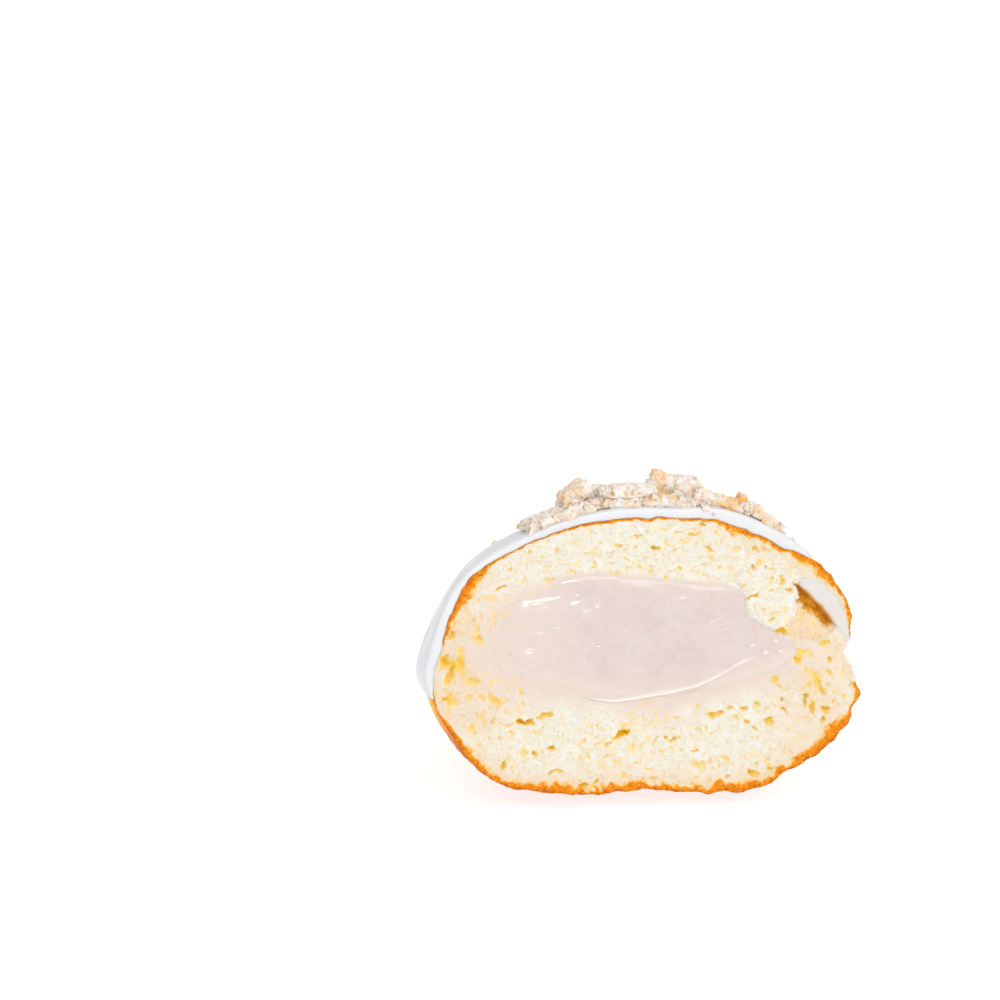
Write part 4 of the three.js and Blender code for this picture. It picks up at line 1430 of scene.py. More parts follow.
    def dig(self, fields: dict[str, Array], x: Array, z: Array, pore: Pore, tint: float) -> None:
        """Digs one pore.

        Args:
            fields: Depth and pore colour, changed in place.
            x: Warped places to the right.
            z: Warped places upwards.
            pore: The pore.
            tint: How golden it is, from 0 to 1; the gold is painted shade inside the pore, over the crumb's
                own yellow.
        """
        reach = 1.7 * max(pore.half_length, pore.half_height) + 1.0
        column = slice(*(max(0, int((pore.x - self.left + side * reach) / self.step)) for side in (-1, 1)))
        row = slice(*(max(0, int((pore.z - self.low + side * reach) / self.step)) for side in (-1, 1)))
        dx, dz = x[row, column] - pore.x, z[row, column] - pore.z
        c, s = math.cos(math.radians(pore.turn)), math.sin(math.radians(pore.turn))
        across = (dx * c + dz * s) / pore.half_length
        upward = (dz * c - dx * s) / pore.half_height
        inside = 1 - across**2 - upward**2
        higher = np.clip(dz / math.hypot(pore.half_length * s, pore.half_height * c), -1, 1)
        deepest = min(self.depth_share * pore.depth, 0.45 + 1.1 * min(pore.half_length, pore.half_height))
        bowl = deepest * np.clip(inside, 0, 1) ** (0.6 + 0.9 * pore.softness)
        bowl *= 1 + 0.55 * higher
        colour = tint * ease(-0.6, 0.3 + 0.7 * pore.softness, inside)
        # Painted shade: the gold is stronger towards the pore's upper side, under its upper edge.
        colour = colour * (1 + (0.35 + 0.2 * pore.softness) * higher)
        for name, values in (("depth", bowl), ("pore", colour)):
            fields[name][row, column] = np.maximum(fields[name][row, column], values)

    def read(self, laid: Array, x: Array, z: Array) -> Array:
        """Value of a laid field at points.

        Args:
            laid: The field.
            x: Places to the right.
            z: Places upwards.

        Returns:
            The values.
        """
        across = np.clip((x - self.left) / self.step, 0, laid.shape[1] - 1.001)
        upward = np.clip((z - self.low) / self.step, 0, laid.shape[0] - 1.001)
        i, j = upward.astype(int), across.astype(int)
        a, b = upward - i, across - j
        low = mix(laid[i, j], laid[i, j + 1], b)
        high = mix(laid[i + 1, j], laid[i + 1, j + 1], b)
        return mix(low, high, a)


@dataclass(frozen=True)
class DoughSkin:
    """Outer surface of the crust, by heading in the cut and by depth angle behind it."""

    wrinkle: float = 0.16
    rim_rough: float = 0.36

    def points(self, heading: Array, depth_angle: Array, inset: Array | float = 0.0) -> Array:
        """Points of the skin.

        Args:
            heading: Heading in the cut in degrees.
            depth_angle: Angle behind the cut, 0 at its rim and 90 at the back, in degrees.
            inset: Distance inside the skin.

        Returns:
            The points, one row each.
        """
        level = cos_deg(depth_angle)
        direction = np.stack([level * cos_deg(heading), sin_deg(depth_angle), level * sin_deg(heading)], -1)
        azimuth = heading_of(direction[:, 0], direction[:, 1])
        latitude = np.degrees(np.arcsin(np.clip(direction[:, 2], -1, 1)))
        radius = DOUGH.radius(azimuth, latitude)
        behind = radius * direction[:, 1]
        near = bell(behind, 0, DOUGH.rim_depth)
        noise = Lattice(SEED + 9)
        spot = direction * radius[:, None]
        rough = self.wrinkle * noise.folds(3.4, 3, *spot.T)
        flap = 1 + 1.1 * bell(heading, 20, 14) + 0.8 * bell(heading, -22, 10)
        lumpy = self.rim_rough * noise.folds(2.9, 4, *spot.T) * near
        lumpy = lumpy * (0.35 + 0.65 * self.bareness(heading)) * flap
        lumps = sum(lump.at(heading) for lump in DOUGH.rim_lumps) * near
        return direction * (radius + rough + lumpy + lumps - inset)[:, None]

    def bareness(self, heading: Array) -> Array:
        """1 where the crust is bare of icing in the cut, 0 under the icing."""
        return 1 - ease(30, 36, heading) * ease(-174, -180, -np.abs((heading - 360) % 360))


@dataclass(frozen=True)
class CutCrumb:
    """Slab of crumb in the cut, with its crust rim."""

    columns: int = 1000
    hidden_rows: int = 2
    open_rows: int = 88
    tuck: float = 2.0
    wrap_angle: float = 1.0
    wrap_rings: float = 3.0
    closing_depth: float = 9.0
    relief: CutRelief = CutRelief()
    skin: DoughSkin = DoughSkin()
    # Rings round the rim: angle behind the cut in degrees and distance inside the skin.
    rim: Knots = (
        (0.1, 0.14), (0.35, 0.05), (0.9, 0.0), (1.6, 0.0), (2.2, 0.05), (2.9, 0.18), (3.1, 0.8), (14.0, 1.1),
    )

    def spread(self) -> Array:
        """Headings of the columns, evenly spaced along the outline.

        Returns:
            The headings, one more than there are columns.
        """
        fine = np.linspace(-180, 180, 4097)
        radius = DOUGH.outline_radius(fine)
        x, z = radius * cos_deg(fine), radius * sin_deg(fine)
        walked = np.concatenate([[0], np.cumsum(np.hypot(np.diff(x), np.diff(z)))])
        return np.interp(np.linspace(0, walked[-1], self.columns + 1), walked, fine)

    def inner_ring(self, x: Array, z: Array) -> Array:
        """Points under the cream's edge, on the lines from the cream's middle to points of the rim.

        Args:
            x: Places of the rim to the right.
            z: Places of the rim upwards.

        Returns:
            The points.
        """
        middle = np.array(CREAM_CENTRE)
        wanted = heading_of(x - middle[0], z - middle[1])
        radius = reach_at(smooth_outline(CREAM_EDGE) - middle, wanted) - self.tuck
        return middle + radius[:, None] * toward(wanted)

    def shape(self, column: Array, row: Array) -> Shaped:
        """Points and layers of the slab.

        Args:
            column: Column number of each vertex.
            row: Row number of each vertex.

        Returns:
            The points in the cut's frame and the layer values.
        """
        heading = self.spread()[column % self.columns]
        face_rows = self.hidden_rows + self.open_rows
        bare = 0.1 + 0.9 * self.skin.bareness(heading)
        rim_point = self.skin.points(heading, np.zeros(len(heading)), self.rim[0][1] * bare)
        inner = self.inner_ring(rim_point[:, 0], rim_point[:, 2])
        hidden = np.clip(row / self.hidden_rows, 0, 1)
        open_part = np.clip((row - self.hidden_rows) / self.open_rows, 0, 1)
        x = mix(CREAM_CENTRE[0], mix(inner[:, 0], rim_point[:, 0], open_part), hidden)
        z = mix(CREAM_CENTRE[1], mix(inner[:, 1], rim_point[:, 2], open_part), hidden)
        laid = self.relief.lay()
        depth = self.relief.read(laid["relief"], x, z)
        noise = Lattice(SEED + 4)
        from_rim = np.linalg.norm(rim_point[:, (0, 2)] - np.stack([x, z], -1), axis=1)
        band = by_heading(self.relief.band, heading)
        rough_band = band * (1 + 0.5 * noise.folds(1.3, 3, x, 3.0, z) + 0.5 * noise.at(4.6, x, 12.0, z))
        crust = np.clip(1.3 - from_rim / np.maximum(rough_band, 0.05), 0, 1.2) / 1.2 * ease(0.0, 0.35, band)
        pits = ease(0.35, 0.75, noise.folds(0.9, 2, x, 30.0, z)) * ease(0.1, 0.6, crust)
        depth = depth * ease(0.0, 0.6, from_rim) + 0.35 * pits - 0.12 * crust * noise.at(0.8, x, 50.0, z)
        near_crust = np.exp(-np.maximum(from_rim - band, 0) / 2.3) * ease(0.3, 1.2, band)
        peach = np.maximum(self.relief.read(laid["peach"], x, z), 0.85 * near_crust)
        points = np.stack([x, depth, z], -1)
        for i, (angle, inset) in enumerate(self.rim[1:], start=1):
            ring = np.flatnonzero(row == face_rows + i)
            share = 1.0 if angle >= self.wrap_angle else bare[ring]
            points[ring] = self.skin.points(heading[ring], np.full(len(ring), angle), inset * share)
        points[row == face_rows + len(self.rim)] = (0.0, self.closing_depth, 0.0)
        on_skin = np.where(row > face_rows, 1.0, 0.0)
        wrapped = ease(0.0, self.wrap_rings, row - face_rows)
        browned = np.maximum(ease(0.05, 0.35, band), ease(0.5, self.wrap_rings, row - face_rows))
        layers = {
            layer: self.relief.read(laid[layer.value], x, z) * (1 - on_skin)
            for layer in (Layer.PORE, Layer.SMEAR, Layer.HOLLOW_SHADE)
        }
        layers[Layer.PEACH] = peach
        layers[Layer.CRUST] = np.maximum(crust, on_skin * ease(0.05, 0.35, band))
        layers[Layer.TOAST] = on_skin * wrapped * browned
        return points, layers

    def build(self, material: Material) -> None:
        """Builds and dresses the slab."""
        rows = self.hidden_rows + self.open_rows + len(self.rim)
        piece = grid_mesh("cut_crumb", self.columns, rows, self.shape)
        finish_piece(piece, Slot.DOUGH, material, "dough")


@dataclass(frozen=True)
class CrustSkin:
    """Fried crust round the back, under the icing and down to the base."""

    columns: int = 360
    rows: int = 96
    skin: DoughSkin = DoughSkin()
    # Rings inside the body that close it at the front: angle behind the cut and distance inside the skin.
    closing: Knots = ((15.0, 0.9), (1.4, 0.6))
    start_angle: float = 1.2
    start_inset: float = 0.13
    lid: float = 11.0

    def shape(self, column: Array, row: Array) -> Shaped:
        """Points of the skin, from the lid inside it round to the back pole.

        Args:
            column: Column number of each vertex.
            row: Row number of each vertex.

        Returns:
            The points in the cut's frame and the layer values.
        """
        heading = 360 * (column % self.columns) / self.columns - 180
        count = len(self.closing)
        share = np.clip((row - count - 1) / self.rows, 0, 1)
        angle = mix(self.start_angle, 90.0, share)
        inset = self.start_inset * ease(self.start_angle + 1.5, self.start_angle, angle)
        for i, (behind, inside) in enumerate(self.closing, start=1):
            angle[row == i] = behind
            inset[row == i] = inside
        points = self.skin.points(heading, angle, inset)
        points[row == 0] = (0.0, self.lid, 0.0)
        return points, {}

    def build(self, material: Material) -> None:
        """Builds and dresses the skin."""
        piece = grid_mesh("crust_skin", self.columns, self.rows + len(self.closing) + 1, self.shape)
        finish_piece(piece, Slot.DOUGH, material, "dough")


@dataclass(frozen=True)
class Dab:
    """Small rise or dent in the cream: place, half sizes, turn and height."""

    x: float
    z: float
    half_length: float
    half_height: float
    turn: float
    height: float


@dataclass(frozen=True)
class Cream:
    """Cream that fills the pocket, with knife streaks, a lip along its lower edge and a drip."""

    columns: int = 560
    face_rows: int = 62
    back_rows: int = 10
    depth: float = 27.0
    edge_level: float = 0.45
    edge_rise: float = 0.85
    # The same where the cream thins out over the crumb.
    thin_level: float = 0.12
    thin_rise: float = 0.5
    middle_rise: float = 0.55
    dab_share: float = 0.5
    edge_tuck: float = 0.5
    # Heights of the knife's broad and fine streaks, of the ridges between them and of slow waves.
    streak: float = 0.1
    fine_streak: float = 0.04
    ridge: float = 0.07
    wave: float = 0.3
    lip_rise: float = 0.5
    lip_dip: float = 0.42
    # Corners of the edge that run on under the lobe of crumb.
    under_lobe: tuple[tuple[int, float, float], ...] = (
        (7, 18.4, 15.9), (8, 21.0, 13.9), (9, 21.8, 11.7), (10, 23.6, 9.3), (11, 26.4, 6.4), (12, 29.2, 5.5),
    )
    lip: Knots = (
        (-17.0, -4.6), (-14.2, -5.7), (-10.0, -6.3), (-7.4, -6.6), (-1.9, -5.9), (4.0, -5.0), (9.5, -3.9),
        (14.0, -2.0), (18.0, 0.3), (21.0, 1.4),
    )
    dabs: tuple[Dab, ...] = rows_of(Dab, (
        (-25.0, 3.1, 2.4, 1.1, 12, 0.8), (-23.2, 0.7, 1.4, 0.6, -12, 0.5), (-13.3, 11.0, 1.6, 0.9, 20, 0.7),
        (-11.0, 12.5, 1.0, 0.6, 0, 0.5), (-25.7, 0.1, 0.6, 0.5, 0, 0.4), (-20.3, 1.5, 0.6, 0.5, 0, 0.4),
        (-30.2, -0.6, 0.4, 0.3, 0, 0.2), (-28.1, -2.3, 0.4, 0.3, 0, 0.2), (15.0, 1.9, 0.8, 0.4, 60, 0.3),
        (-22.7, 13.2, 1.2, 0.25, 4, 0.2), (13.4, 9.4, 2.6, 0.4, 24, 0.28), (14.6, 8.0, 2.2, 0.35, 12, -0.25),
        (-5.0, 8.5, 1.1, 0.6, -35, -0.3), (-4.2, 7.6, 0.7, 0.35, 10, 0.25), (2.0, 11.5, 2.0, 0.4, 4, -0.2),
        (21.3, 4.0, 1.3, 0.8, 20, 0.65), (24.2, 2.2, 1.1, 0.9, 40, 0.7), (26.4, 4.6, 1.0, 0.8, 30, 0.6),
        (22.4, 0.9, 1.0, 0.7, -30, 0.55), (27.6, 2.5, 0.9, 0.7, -30, 0.6), (7.0, -6.1, 1.0, 0.8, 0, 0.9),
        (5.4, -5.6, 2.3, 0.9, 2, 0.45), (18.6, 3.4, 1.0, 0.35, 30, 0.22), (-17.0, 8.0, 3.2, 0.5, 3, 0.16),
    ))

    def edge(self) -> Array:
        """Smooth edge of the cream's body.

        Returns:
            The edge's points.
        """
        corners = list(CREAM_EDGE)
        for number, x, z in self.under_lobe:
            corners[number] = (x, z)
        return smooth_outline(corners, 8)

    def at_sides(self, x: Array, z: Array) -> Array:
        """1 where the cream thins out over the crumb, at its left, lower and right side."""
        return np.max([ease(-15, -25, x), ease(2.0, -0.5, z), ease(12, 20, x) * ease(6, 2, z)], axis=0)

    def above_lip(self, x: Array, z: Array) -> Array:
        """Height above the lip's line."""
        return z - np.interp(x, *np.array(self.lip).T)

    def along_lip(self, x: Array) -> Array:
        """1 along the lip, fading out at both of its ends."""
        return ease(-18.5, -13.5, x) * ease(23.0, 17.0, x)

    def level(self, x: Array, z: Array, inside: Array) -> Array:
        """Level of the cream's face.

        Args:
            x: Places to the right.
            z: Places upwards.
            inside: Distances inside the cream's edge.

        Returns:
            Levels along Y, negative out of the cut.
        """
        noise = Lattice(SEED + 2)
        sides = self.at_sides(x, z)
        rise = mix(self.edge_rise, self.thin_rise, sides)
        level = mix(self.edge_level, self.thin_level, sides)
        level = level - rise * (1 - np.exp(-(inside + self.edge_tuck) / mix(0.9, 3.0, sides)))
        level -= self.middle_rise * (1 - np.exp(-np.maximum(inside, 0) / 7.0))
        bent = z - 0.06 * x + 0.9 * noise.at(9.0, x, 3.0, z)
        fade = ease(0.0, 2.5, inside)
        broad = self.streak * noise.at((8.0, 1.0, 1.9), x, 0.0, bent)
        fine = self.fine_streak * noise.at((3.5, 1.0, 0.7), x, 9.0, bent)
        ridges = 1 - np.abs(noise.at((9.0, 1.0, 1.4), x, 14.0, bent))
        waves = self.wave * noise.folds(6.5, 2, x, 20.0, z)
        level += fade * (broad + fine - self.ridge * ridges**8 + waves)
        above = self.above_lip(x, z)
        below = self.lip_dip * ease(0.2, -0.9, above) * ease(16.0, 6.0, x)
        level += self.along_lip(x) * (below - self.lip_rise * bell(above, 0.4, 0.34))
        for dab in self.dabs:
            c, s = toward(dab.turn)
            across = ((x - dab.x) * c + (z - dab.z) * s) / dab.half_length
            upward = ((z - dab.z) * c - (x - dab.x) * s) / dab.half_height
            level -= self.dab_share * dab.height * np.exp(-((across**2 + upward**2) ** 1.6))
        return level

    def shape(self, column: Array, row: Array) -> Shaped:
        """Points of the cream, from the middle of its face round to the back of the pocket.

        Args:
            column: Column number of each vertex.
            row: Row number of each vertex.

        Returns:
            The points in the cut's frame and the layer values.
        """
        edge = self.edge()
        along = np.linspace(0, len(edge), self.columns + 1)[column % self.columns]
        rim = read_line(np.concatenate([edge, edge[:1]]), along)
        out = rim - np.array(CREAM_CENTRE)
        rim += self.edge_tuck * out / np.hypot(*out.T)[:, None]
        share = np.clip(row / self.face_rows, 0, 1) ** 0.8
        x = mix(CREAM_CENTRE[0], rim[:, 0], share)
        z = mix(CREAM_CENTRE[1], rim[:, 1], share)
        inside = np.maximum(-signed_distance(x, z, edge[::2]), -self.edge_tuck)
        y = self.level(x, z, inside)
        turn = 90 * np.clip((row - self.face_rows) / self.back_rows, 0, 1)
        behind = row > self.face_rows
        narrow = np.maximum(cos_deg(turn), 0) ** 0.7
        x = np.where(behind, mix(CREAM_CENTRE[0], rim[:, 0], narrow), x)
        z = np.where(behind, mix(CREAM_CENTRE[1], rim[:, 1], narrow), z)
        y = np.where(behind, self.edge_level + self.depth * sin_deg(turn), y)
        warm = np.maximum(ease(3.0, 0.0, inside) * 0.5, ease(6.0, 0.0, inside) * self.at_sides(x, z))
        warm = np.maximum(warm, 0.8 * ease(-10, -29, x))
        # A pale line painted along the lip as its highlight.
        lip_highlight = bell(self.above_lip(x, z), 0.45, 0.3) * self.along_lip(x)
        return np.stack([x, y, z], -1), {Layer.SMEAR: warm, Layer.PAINTED_LIGHT_AND_SHADE: lip_highlight * (1 - behind)}

    def build(self, material: Material) -> None:
        """Builds and dresses the cream."""
        piece = grid_mesh("cream", self.columns, self.face_rows + self.back_rows, self.shape)
        finish_piece(piece, Slot.CREAM, material, "cream_filling")


@dataclass(frozen=True)
class IcingCoat:
    """Coat of icing: outer face, cut edge, inner face and rounded lower edge as one body."""

    around: int = 190
    band: int = 7
    rows: int = 84
    nose_rows: int = 9
    bulge: float = 0.24
    bury: float = 0.12
    edge_round: float = 0.28
    round_depth: float = 0.35
    # Unevenness of the thickness as a share, slow and fine, and how far the inner face lies in the crust.
    wave: float = 0.16
    fine_wave: float = 0.05
    sink: float = 0.05
    skin: DoughSkin = DoughSkin()

    def ring(self) -> tuple[Array, Array]:
        """Azimuths and inward shares of the columns, once round the coat at one level."""
        near = np.array([0.0, 0.2, 0.5, 1.0])
        half = np.concatenate([near, np.linspace(1.8, 178.2, self.around), 180 - near[::-1]])
        inward = np.linspace(0, 1, self.band + 1)[1:-1]
        azimuth = np.concatenate([half, np.full(len(inward), 180.0), half[::-1], np.zeros(len(inward))])
        share = np.concatenate([np.zeros(len(half)), inward, np.ones(len(half)), inward[::-1]])
        return azimuth, share

    def crust_radius(self, azimuth: Array, latitude: Array) -> Array:
        """Radius of the crust's own surface, with its lumps.

        Args:
            azimuth: Azimuths in degrees.
            latitude: Latitudes in degrees.

        Returns:
            The radii.
        """
        direction = polar(np.ones(len(azimuth)), azimuth, latitude)
        heading = heading_of(direction[:, 0], direction[:, 2])
        behind = np.degrees(np.arcsin(np.clip(direction[:, 1], -1, 1)))
        return np.linalg.norm(self.skin.points(heading, behind), axis=1) - self.sink

    def shape(self, column: Array, row: Array) -> Shaped:
        """Points of the coat, from the crown to the lower edge.

        Args:
            column: Column number of each vertex.
            row: Row number of each vertex.

        Returns:
            The points in the cut's frame and the layer values.
        """
        azimuths, inwards = self.ring()
        azimuth = azimuths[column % len(azimuths)]
        inward = inwards[column % len(azimuths)]
        on_nose = np.clip((row - self.rows) / self.nose_rows, 0, 1)
        start = ICED.nose_from(azimuth)
        flat = start * np.clip(row / self.rows, 0, 1)
        down = np.where(row <= self.rows, flat, start + (1 - start) * np.sin(np.pi / 2 * on_nose))
        latitude = ICED.latitude(azimuth, down)
        base = DOUGH.radius(azimuth, latitude)
        under = self.crust_radius(azimuth, latitude)
        thickness = ICED.thickness(azimuth, down)
        at_crown = row == 0
        thickness[at_crown] = ICED.crown
        spot = polar(under, azimuth, latitude)
        noise = Lattice(SEED + 5)
        wave = self.wave * noise.folds(13.0, 2, *spot.T) + self.fine_wave * noise.at(4.0, *spot.T)
        thickness = thickness * (1 + wave * (1 - at_crown))
        rounding = self.edge_round * bell(spot[:, 1], 0, self.round_depth)
        outer = np.maximum(base + thickness - rounding, under)
        points = polar(mix(outer, under, inward), azimuth, latitude)
        swell = self.bulge * ease(0, 0.3, inward) * (1 - inward**2) - self.bury * inward**4
        points[:, 1] -= swell * (1 - on_nose)
        return points, {Layer.PAINTED_LIGHT_AND_SHADE: np.zeros(len(row))}

    def build(self, material: Material) -> None:
        """Builds and dresses the coat."""
        columns = len(self.ring()[0])
        piece = grid_mesh("icing_coat", columns, self.rows + self.nose_rows, self.shape)
        finish_piece(piece, Slot.ICING, material, "icing")


@dataclass(frozen=True)
class IcingRun:
    """Icing that ran into the filling hole, as a strip under the flap of crust."""

    around: int = 72
    along: int = 90
    depth: float = 6.4
    proud: float = 0.25
    wobble: float = 0.12
    face_wave: float = 0.08
    # How much the strip's outer side leans inwards behind the cut.
    lean: float = 0.7
    # Middle line of the strip: x, z and half width.
    line: tuple[tuple[float, float, float], ...] = (
        (30.4, 17.2, 0.6), (31.3, 16.9, 1.2), (33.2, 16.4, 1.9), (35.2, 15.2, 2.2), (37.0, 13.3, 2.1),
        (38.7, 10.9, 1.7), (39.9, 8.8, 1.5), (40.8, 6.6, 1.2), (41.1, 5.2, 0.7), (41.0, 4.2, 0.35),
    )

    def shape(self, column: Array, row: Array) -> Shaped:
        """Points of the strip, ring by ring along its line.

        Args:
            column: Column number of each vertex.
            row: Row number of each vertex.

        Returns:
            The points in the cut's frame and the layer values.
        """
        line = np.array(self.line)
        place = (len(line) - 1) * np.clip(row / self.along, 0, 1)
        x, z, half = read_line(line, place).T
        dx, dz = read_line(np.gradient(line[:, :2], axis=0), place).T
        length = np.hypot(dx, dz)
        side = np.stack([-dz / length, dx / length], -1)
        turn = 360 * (column % self.around) / self.around
        across, deep = self.squared(cos_deg(turn)), self.squared(sin_deg(turn))
        taper = np.sqrt(np.clip(1 - np.abs(2 * row / self.along - 1) ** 14, 0, 1))
        noise = Lattice(SEED + 6)
        offset = across * half * taper * (1 + self.wobble * noise.at(2.0, x, deep, z))
        y = self.depth / 2 - self.proud + deep * (self.depth / 2) * taper
        y = y + self.face_wave * noise.at(1.5, x + offset, 0.0, z)
        lean = self.lean * ease(0.3, 1.8, y) * ease(-0.4, 0.6, across)
        points = np.stack([x + side[:, 0] * offset - lean, y, z + side[:, 1] * offset], -1)
        # The wall that faces the hollow gets painted shade, in orange.
        wall = ease(0.8, 1.0, -across) * ease(0.99, 0.9, -deep)
        return points, {Layer.PAINTED_LIGHT_AND_SHADE: np.maximum(0.03, 0.95 * wall * ease(0.98, 0.8, row / self.along))}

    def squared(self, value: Array) -> Array:
        """Side of a circle bent to a rounded square."""
        return np.sign(value) * np.abs(value) ** 0.45

    def build(self, material: Material) -> None:
        """Builds and dresses the strip."""
        piece = grid_mesh("icing_run", self.around, self.along, self.shape)
        finish_piece(piece, Slot.ICING, material, "icing_in_hole")


# Cereal


@dataclass(frozen=True)
class HeapPiece:
    """A broken square at the front of the heap: centre, sizes, turn in the cut's plane, lean and toast."""

    x: float
    y: float
    z: float
    length: float
    thick: float
    width: float
    turn: float
    lean: float
    toast: float = 0.0


@dataclass(frozen=True)
class LoosePiece:
    """A square lying on the icing: azimuth, latitude, side, thickness and spin."""

    azimuth: float
    latitude: float
    side: float
    thick: float
    spin: float


class Cereal:
    """Makes broken cereal pieces in one mesh."""

    CORNERS = ((-1, -1), (0.1, -1), (1, -0.9), (1, 0.2), (0.8, 1), (-0.2, 1), (-1, 0.8))
    # Heights of the ribs, the rough face, its pits and its bend, in millimetres.
    RIB = 0.14
    ROUGH = 0.4
    PIT = 0.7
    BEND = 0.25
    # Thickness from which a piece has its full relief.
    FULL_RELIEF = 2.4
    SIDE_POINTS = 24

    def __init__(self, name: str, seed: int, torn: float = 1.0) -> None:
        """Starts an empty mesh of pieces.

        Args:
            name: Mesh name.
            seed: Seed of its noise.
            torn: How rough the pieces are.
        """
        self.name = name
        self.torn = torn
        self.form = bmesh.new()
        self.toast = self.form.verts.layers.float.new(Layer.TOAST.value)
        self.noise = Lattice(seed)

    def outline(self, draw: Draws) -> Array:
        """Uneven corners of a broken square, for sides of two."""
        return np.array([[2 * side * (0.42 + 0.09 * draw()) for side in corner] for corner in self.CORNERS])

    def slab(self, sizes: tuple[float, float, float], cell: float) -> bmesh.types.BMesh:
        """Block from -1 to 1, divided into faces of the cell's size for its sizes.

        Args:
            sizes: Length, width and thickness.
            cell: Size of a face.

        Returns:
            The block.
        """
        slab = bmesh.new()
        bmesh.ops.create_cube(slab, size=2.0)
        for axis, size in enumerate(sizes):
            edges = [e for e in slab.edges if abs((e.verts[0].co - e.verts[1].co)[axis]) > 0.1]
            bmesh.ops.subdivide_edges(slab, edges=edges, cuts=max(2, int(size / cell)), use_grid_fill=True)
        return slab

    def add(
        self, outline: Array, sizes: tuple[float, float, float], cell: float, toast: float, place: Matrix
    ) -> None:
        """Adds a broken piece: a slab with ribs, pits and crumbling edges.

        Args:
            outline: Corners for sides of two.
            sizes: Length, width and thickness.
            cell: Size of its faces.
            toast: How brown it is all over, from 0 to 1.
            place: Where it lies in the cut's frame.
        """
        slab = self.slab(sizes, cell)
        unit = np.array([v.co for v in slab.verts])
        heading = heading_of(unit[:, 0], unit[:, 1])
        reach = np.max(np.abs(unit[:, :2]), axis=1)
        flat = toward(heading) * (self.reach_of(outline, heading) * reach)[:, None]
        points = np.column_stack([flat * np.array(sizes[:2]) / 2, unit[:, 2] * sizes[2] / 2])
        x, y, z = points.T
        x = x + 40 * len(self.form.verts) ** 0.5
        thin = min(1.0, sizes[2] / self.FULL_RELIEF)
        near_edge = ease(0.72, 1.0, reach)
        ribs = self.RIB * np.cos(2 * np.pi * (x + 0.3 * y) / 1.3) * np.cos(2 * np.pi * y / 1.9)
        rough = self.ROUGH * self.torn * self.noise.folds(1.2, 3, x, y, z)
        pits = self.PIT * self.torn * ease(0.25, 0.75, self.noise.folds(1.0, 2, x, y + 9, 0.6 * z))
        relief = (ribs + rough - pits) * (1 - 0.4 * near_edge) * thin
        points[:, 2] += np.sign(unit[:, 2]) * ease(0.6, 1.0, np.abs(unit[:, 2])) * relief
        sheets = self.noise.at((3.0, 3.0, 0.5), x, y, z)
        torn = 0.04 + 0.2 * self.noise.folds(1.4, 3, x, y, z) + 0.06 * sheets + 0.14 * pits
        points[:, :2] *= (1 - near_edge * torn * self.torn)[:, None]
        points[:, 2] *= 1 - 0.16 * near_edge * (1 + self.noise.at(1.2, x, y, z))
        points[:, 2] += self.BEND * self.noise.at(5.0, x, y, 0.0)
        brown = toast * ease(-0.4, 0.3, self.noise.at(1.6, x, y, z + 50)) * 1.7
        brown = brown + 0.35 * near_edge * ease(0.1, 0.8, self.noise.at(1.1, x, y, z + 5)) + 0.6 * pits
        brown = brown + 0.5 * ease(0.6, 1.0, self.noise.folds(2.0, 3, x, y, z + 30))
        self.join(slab, points, brown, place)

    def add_chip(self, size: float, rounds: int, toast: float, place: Matrix) -> None:
        """Adds a small rounded crumb of cereal.

        Args:
            size: Half of its length.
            rounds: How finely it is divided.
            toast: How brown it is.
            place: Where it goes and how it is turned.
        """
        chip = bmesh.new()
        bmesh.ops.create_icosphere(chip, subdivisions=rounds, radius=1.0)
        unit = np.array([v.co for v in chip.verts])
        shift = 13.0 * len(self.form.verts) ** 0.5
        swell = 1 + 0.6 * self.noise.folds(0.9, 2, unit[:, 0] + shift, unit[:, 1], unit[:, 2])
        points = unit * np.clip(swell, 0.4, 1.7)[:, None] * np.array([1.0, 0.75, 0.45]) * size
        brown = toast + 0.4 * self.noise.at(0.6, unit[:, 0] + shift, unit[:, 1], unit[:, 2])
        self.join(chip, points, brown, place)

    def reach_of(self, outline: Array, heading: Array) -> Array:
        """Distance from the middle to an outline with straight sides, at headings in degrees."""
        share = np.linspace(0, 1, self.SIDE_POINTS, endpoint=False)[:, None]
        sides = [mix(start, end, share) for start, end in zip(outline, np.roll(outline, -1, 0))]
        return reach_at(np.concatenate(sides), heading)

    def join(self, part: bmesh.types.BMesh, points: Array, brown: Array, place: Matrix) -> None:
        """Copies a small part into the mesh.

        Args:
            part: The part; it is freed.
            points: Where its vertices go, before they are placed.
            brown: How brown each vertex is.
            place: Where the part lies in the cut's frame.
        """
        made = [self.form.verts.new(place @ Vector(p)) for p in points]
        for vert, value in zip(made, np.clip(brown, 0, 1)):
            vert[self.toast] = value
        part.verts.index_update()
        for face in part.faces:
            self.form.faces.new([made[v.index] for v in face.verts])
        part.free()

    def object(self) -> Object:
        """Closes the mesh and returns its object.

        Returns:
            The object.
        """
        mesh = bpy.data.meshes.new(self.name)
        self.form.to_mesh(mesh)
        self.form.free()
        return closed_object(self.name, mesh)


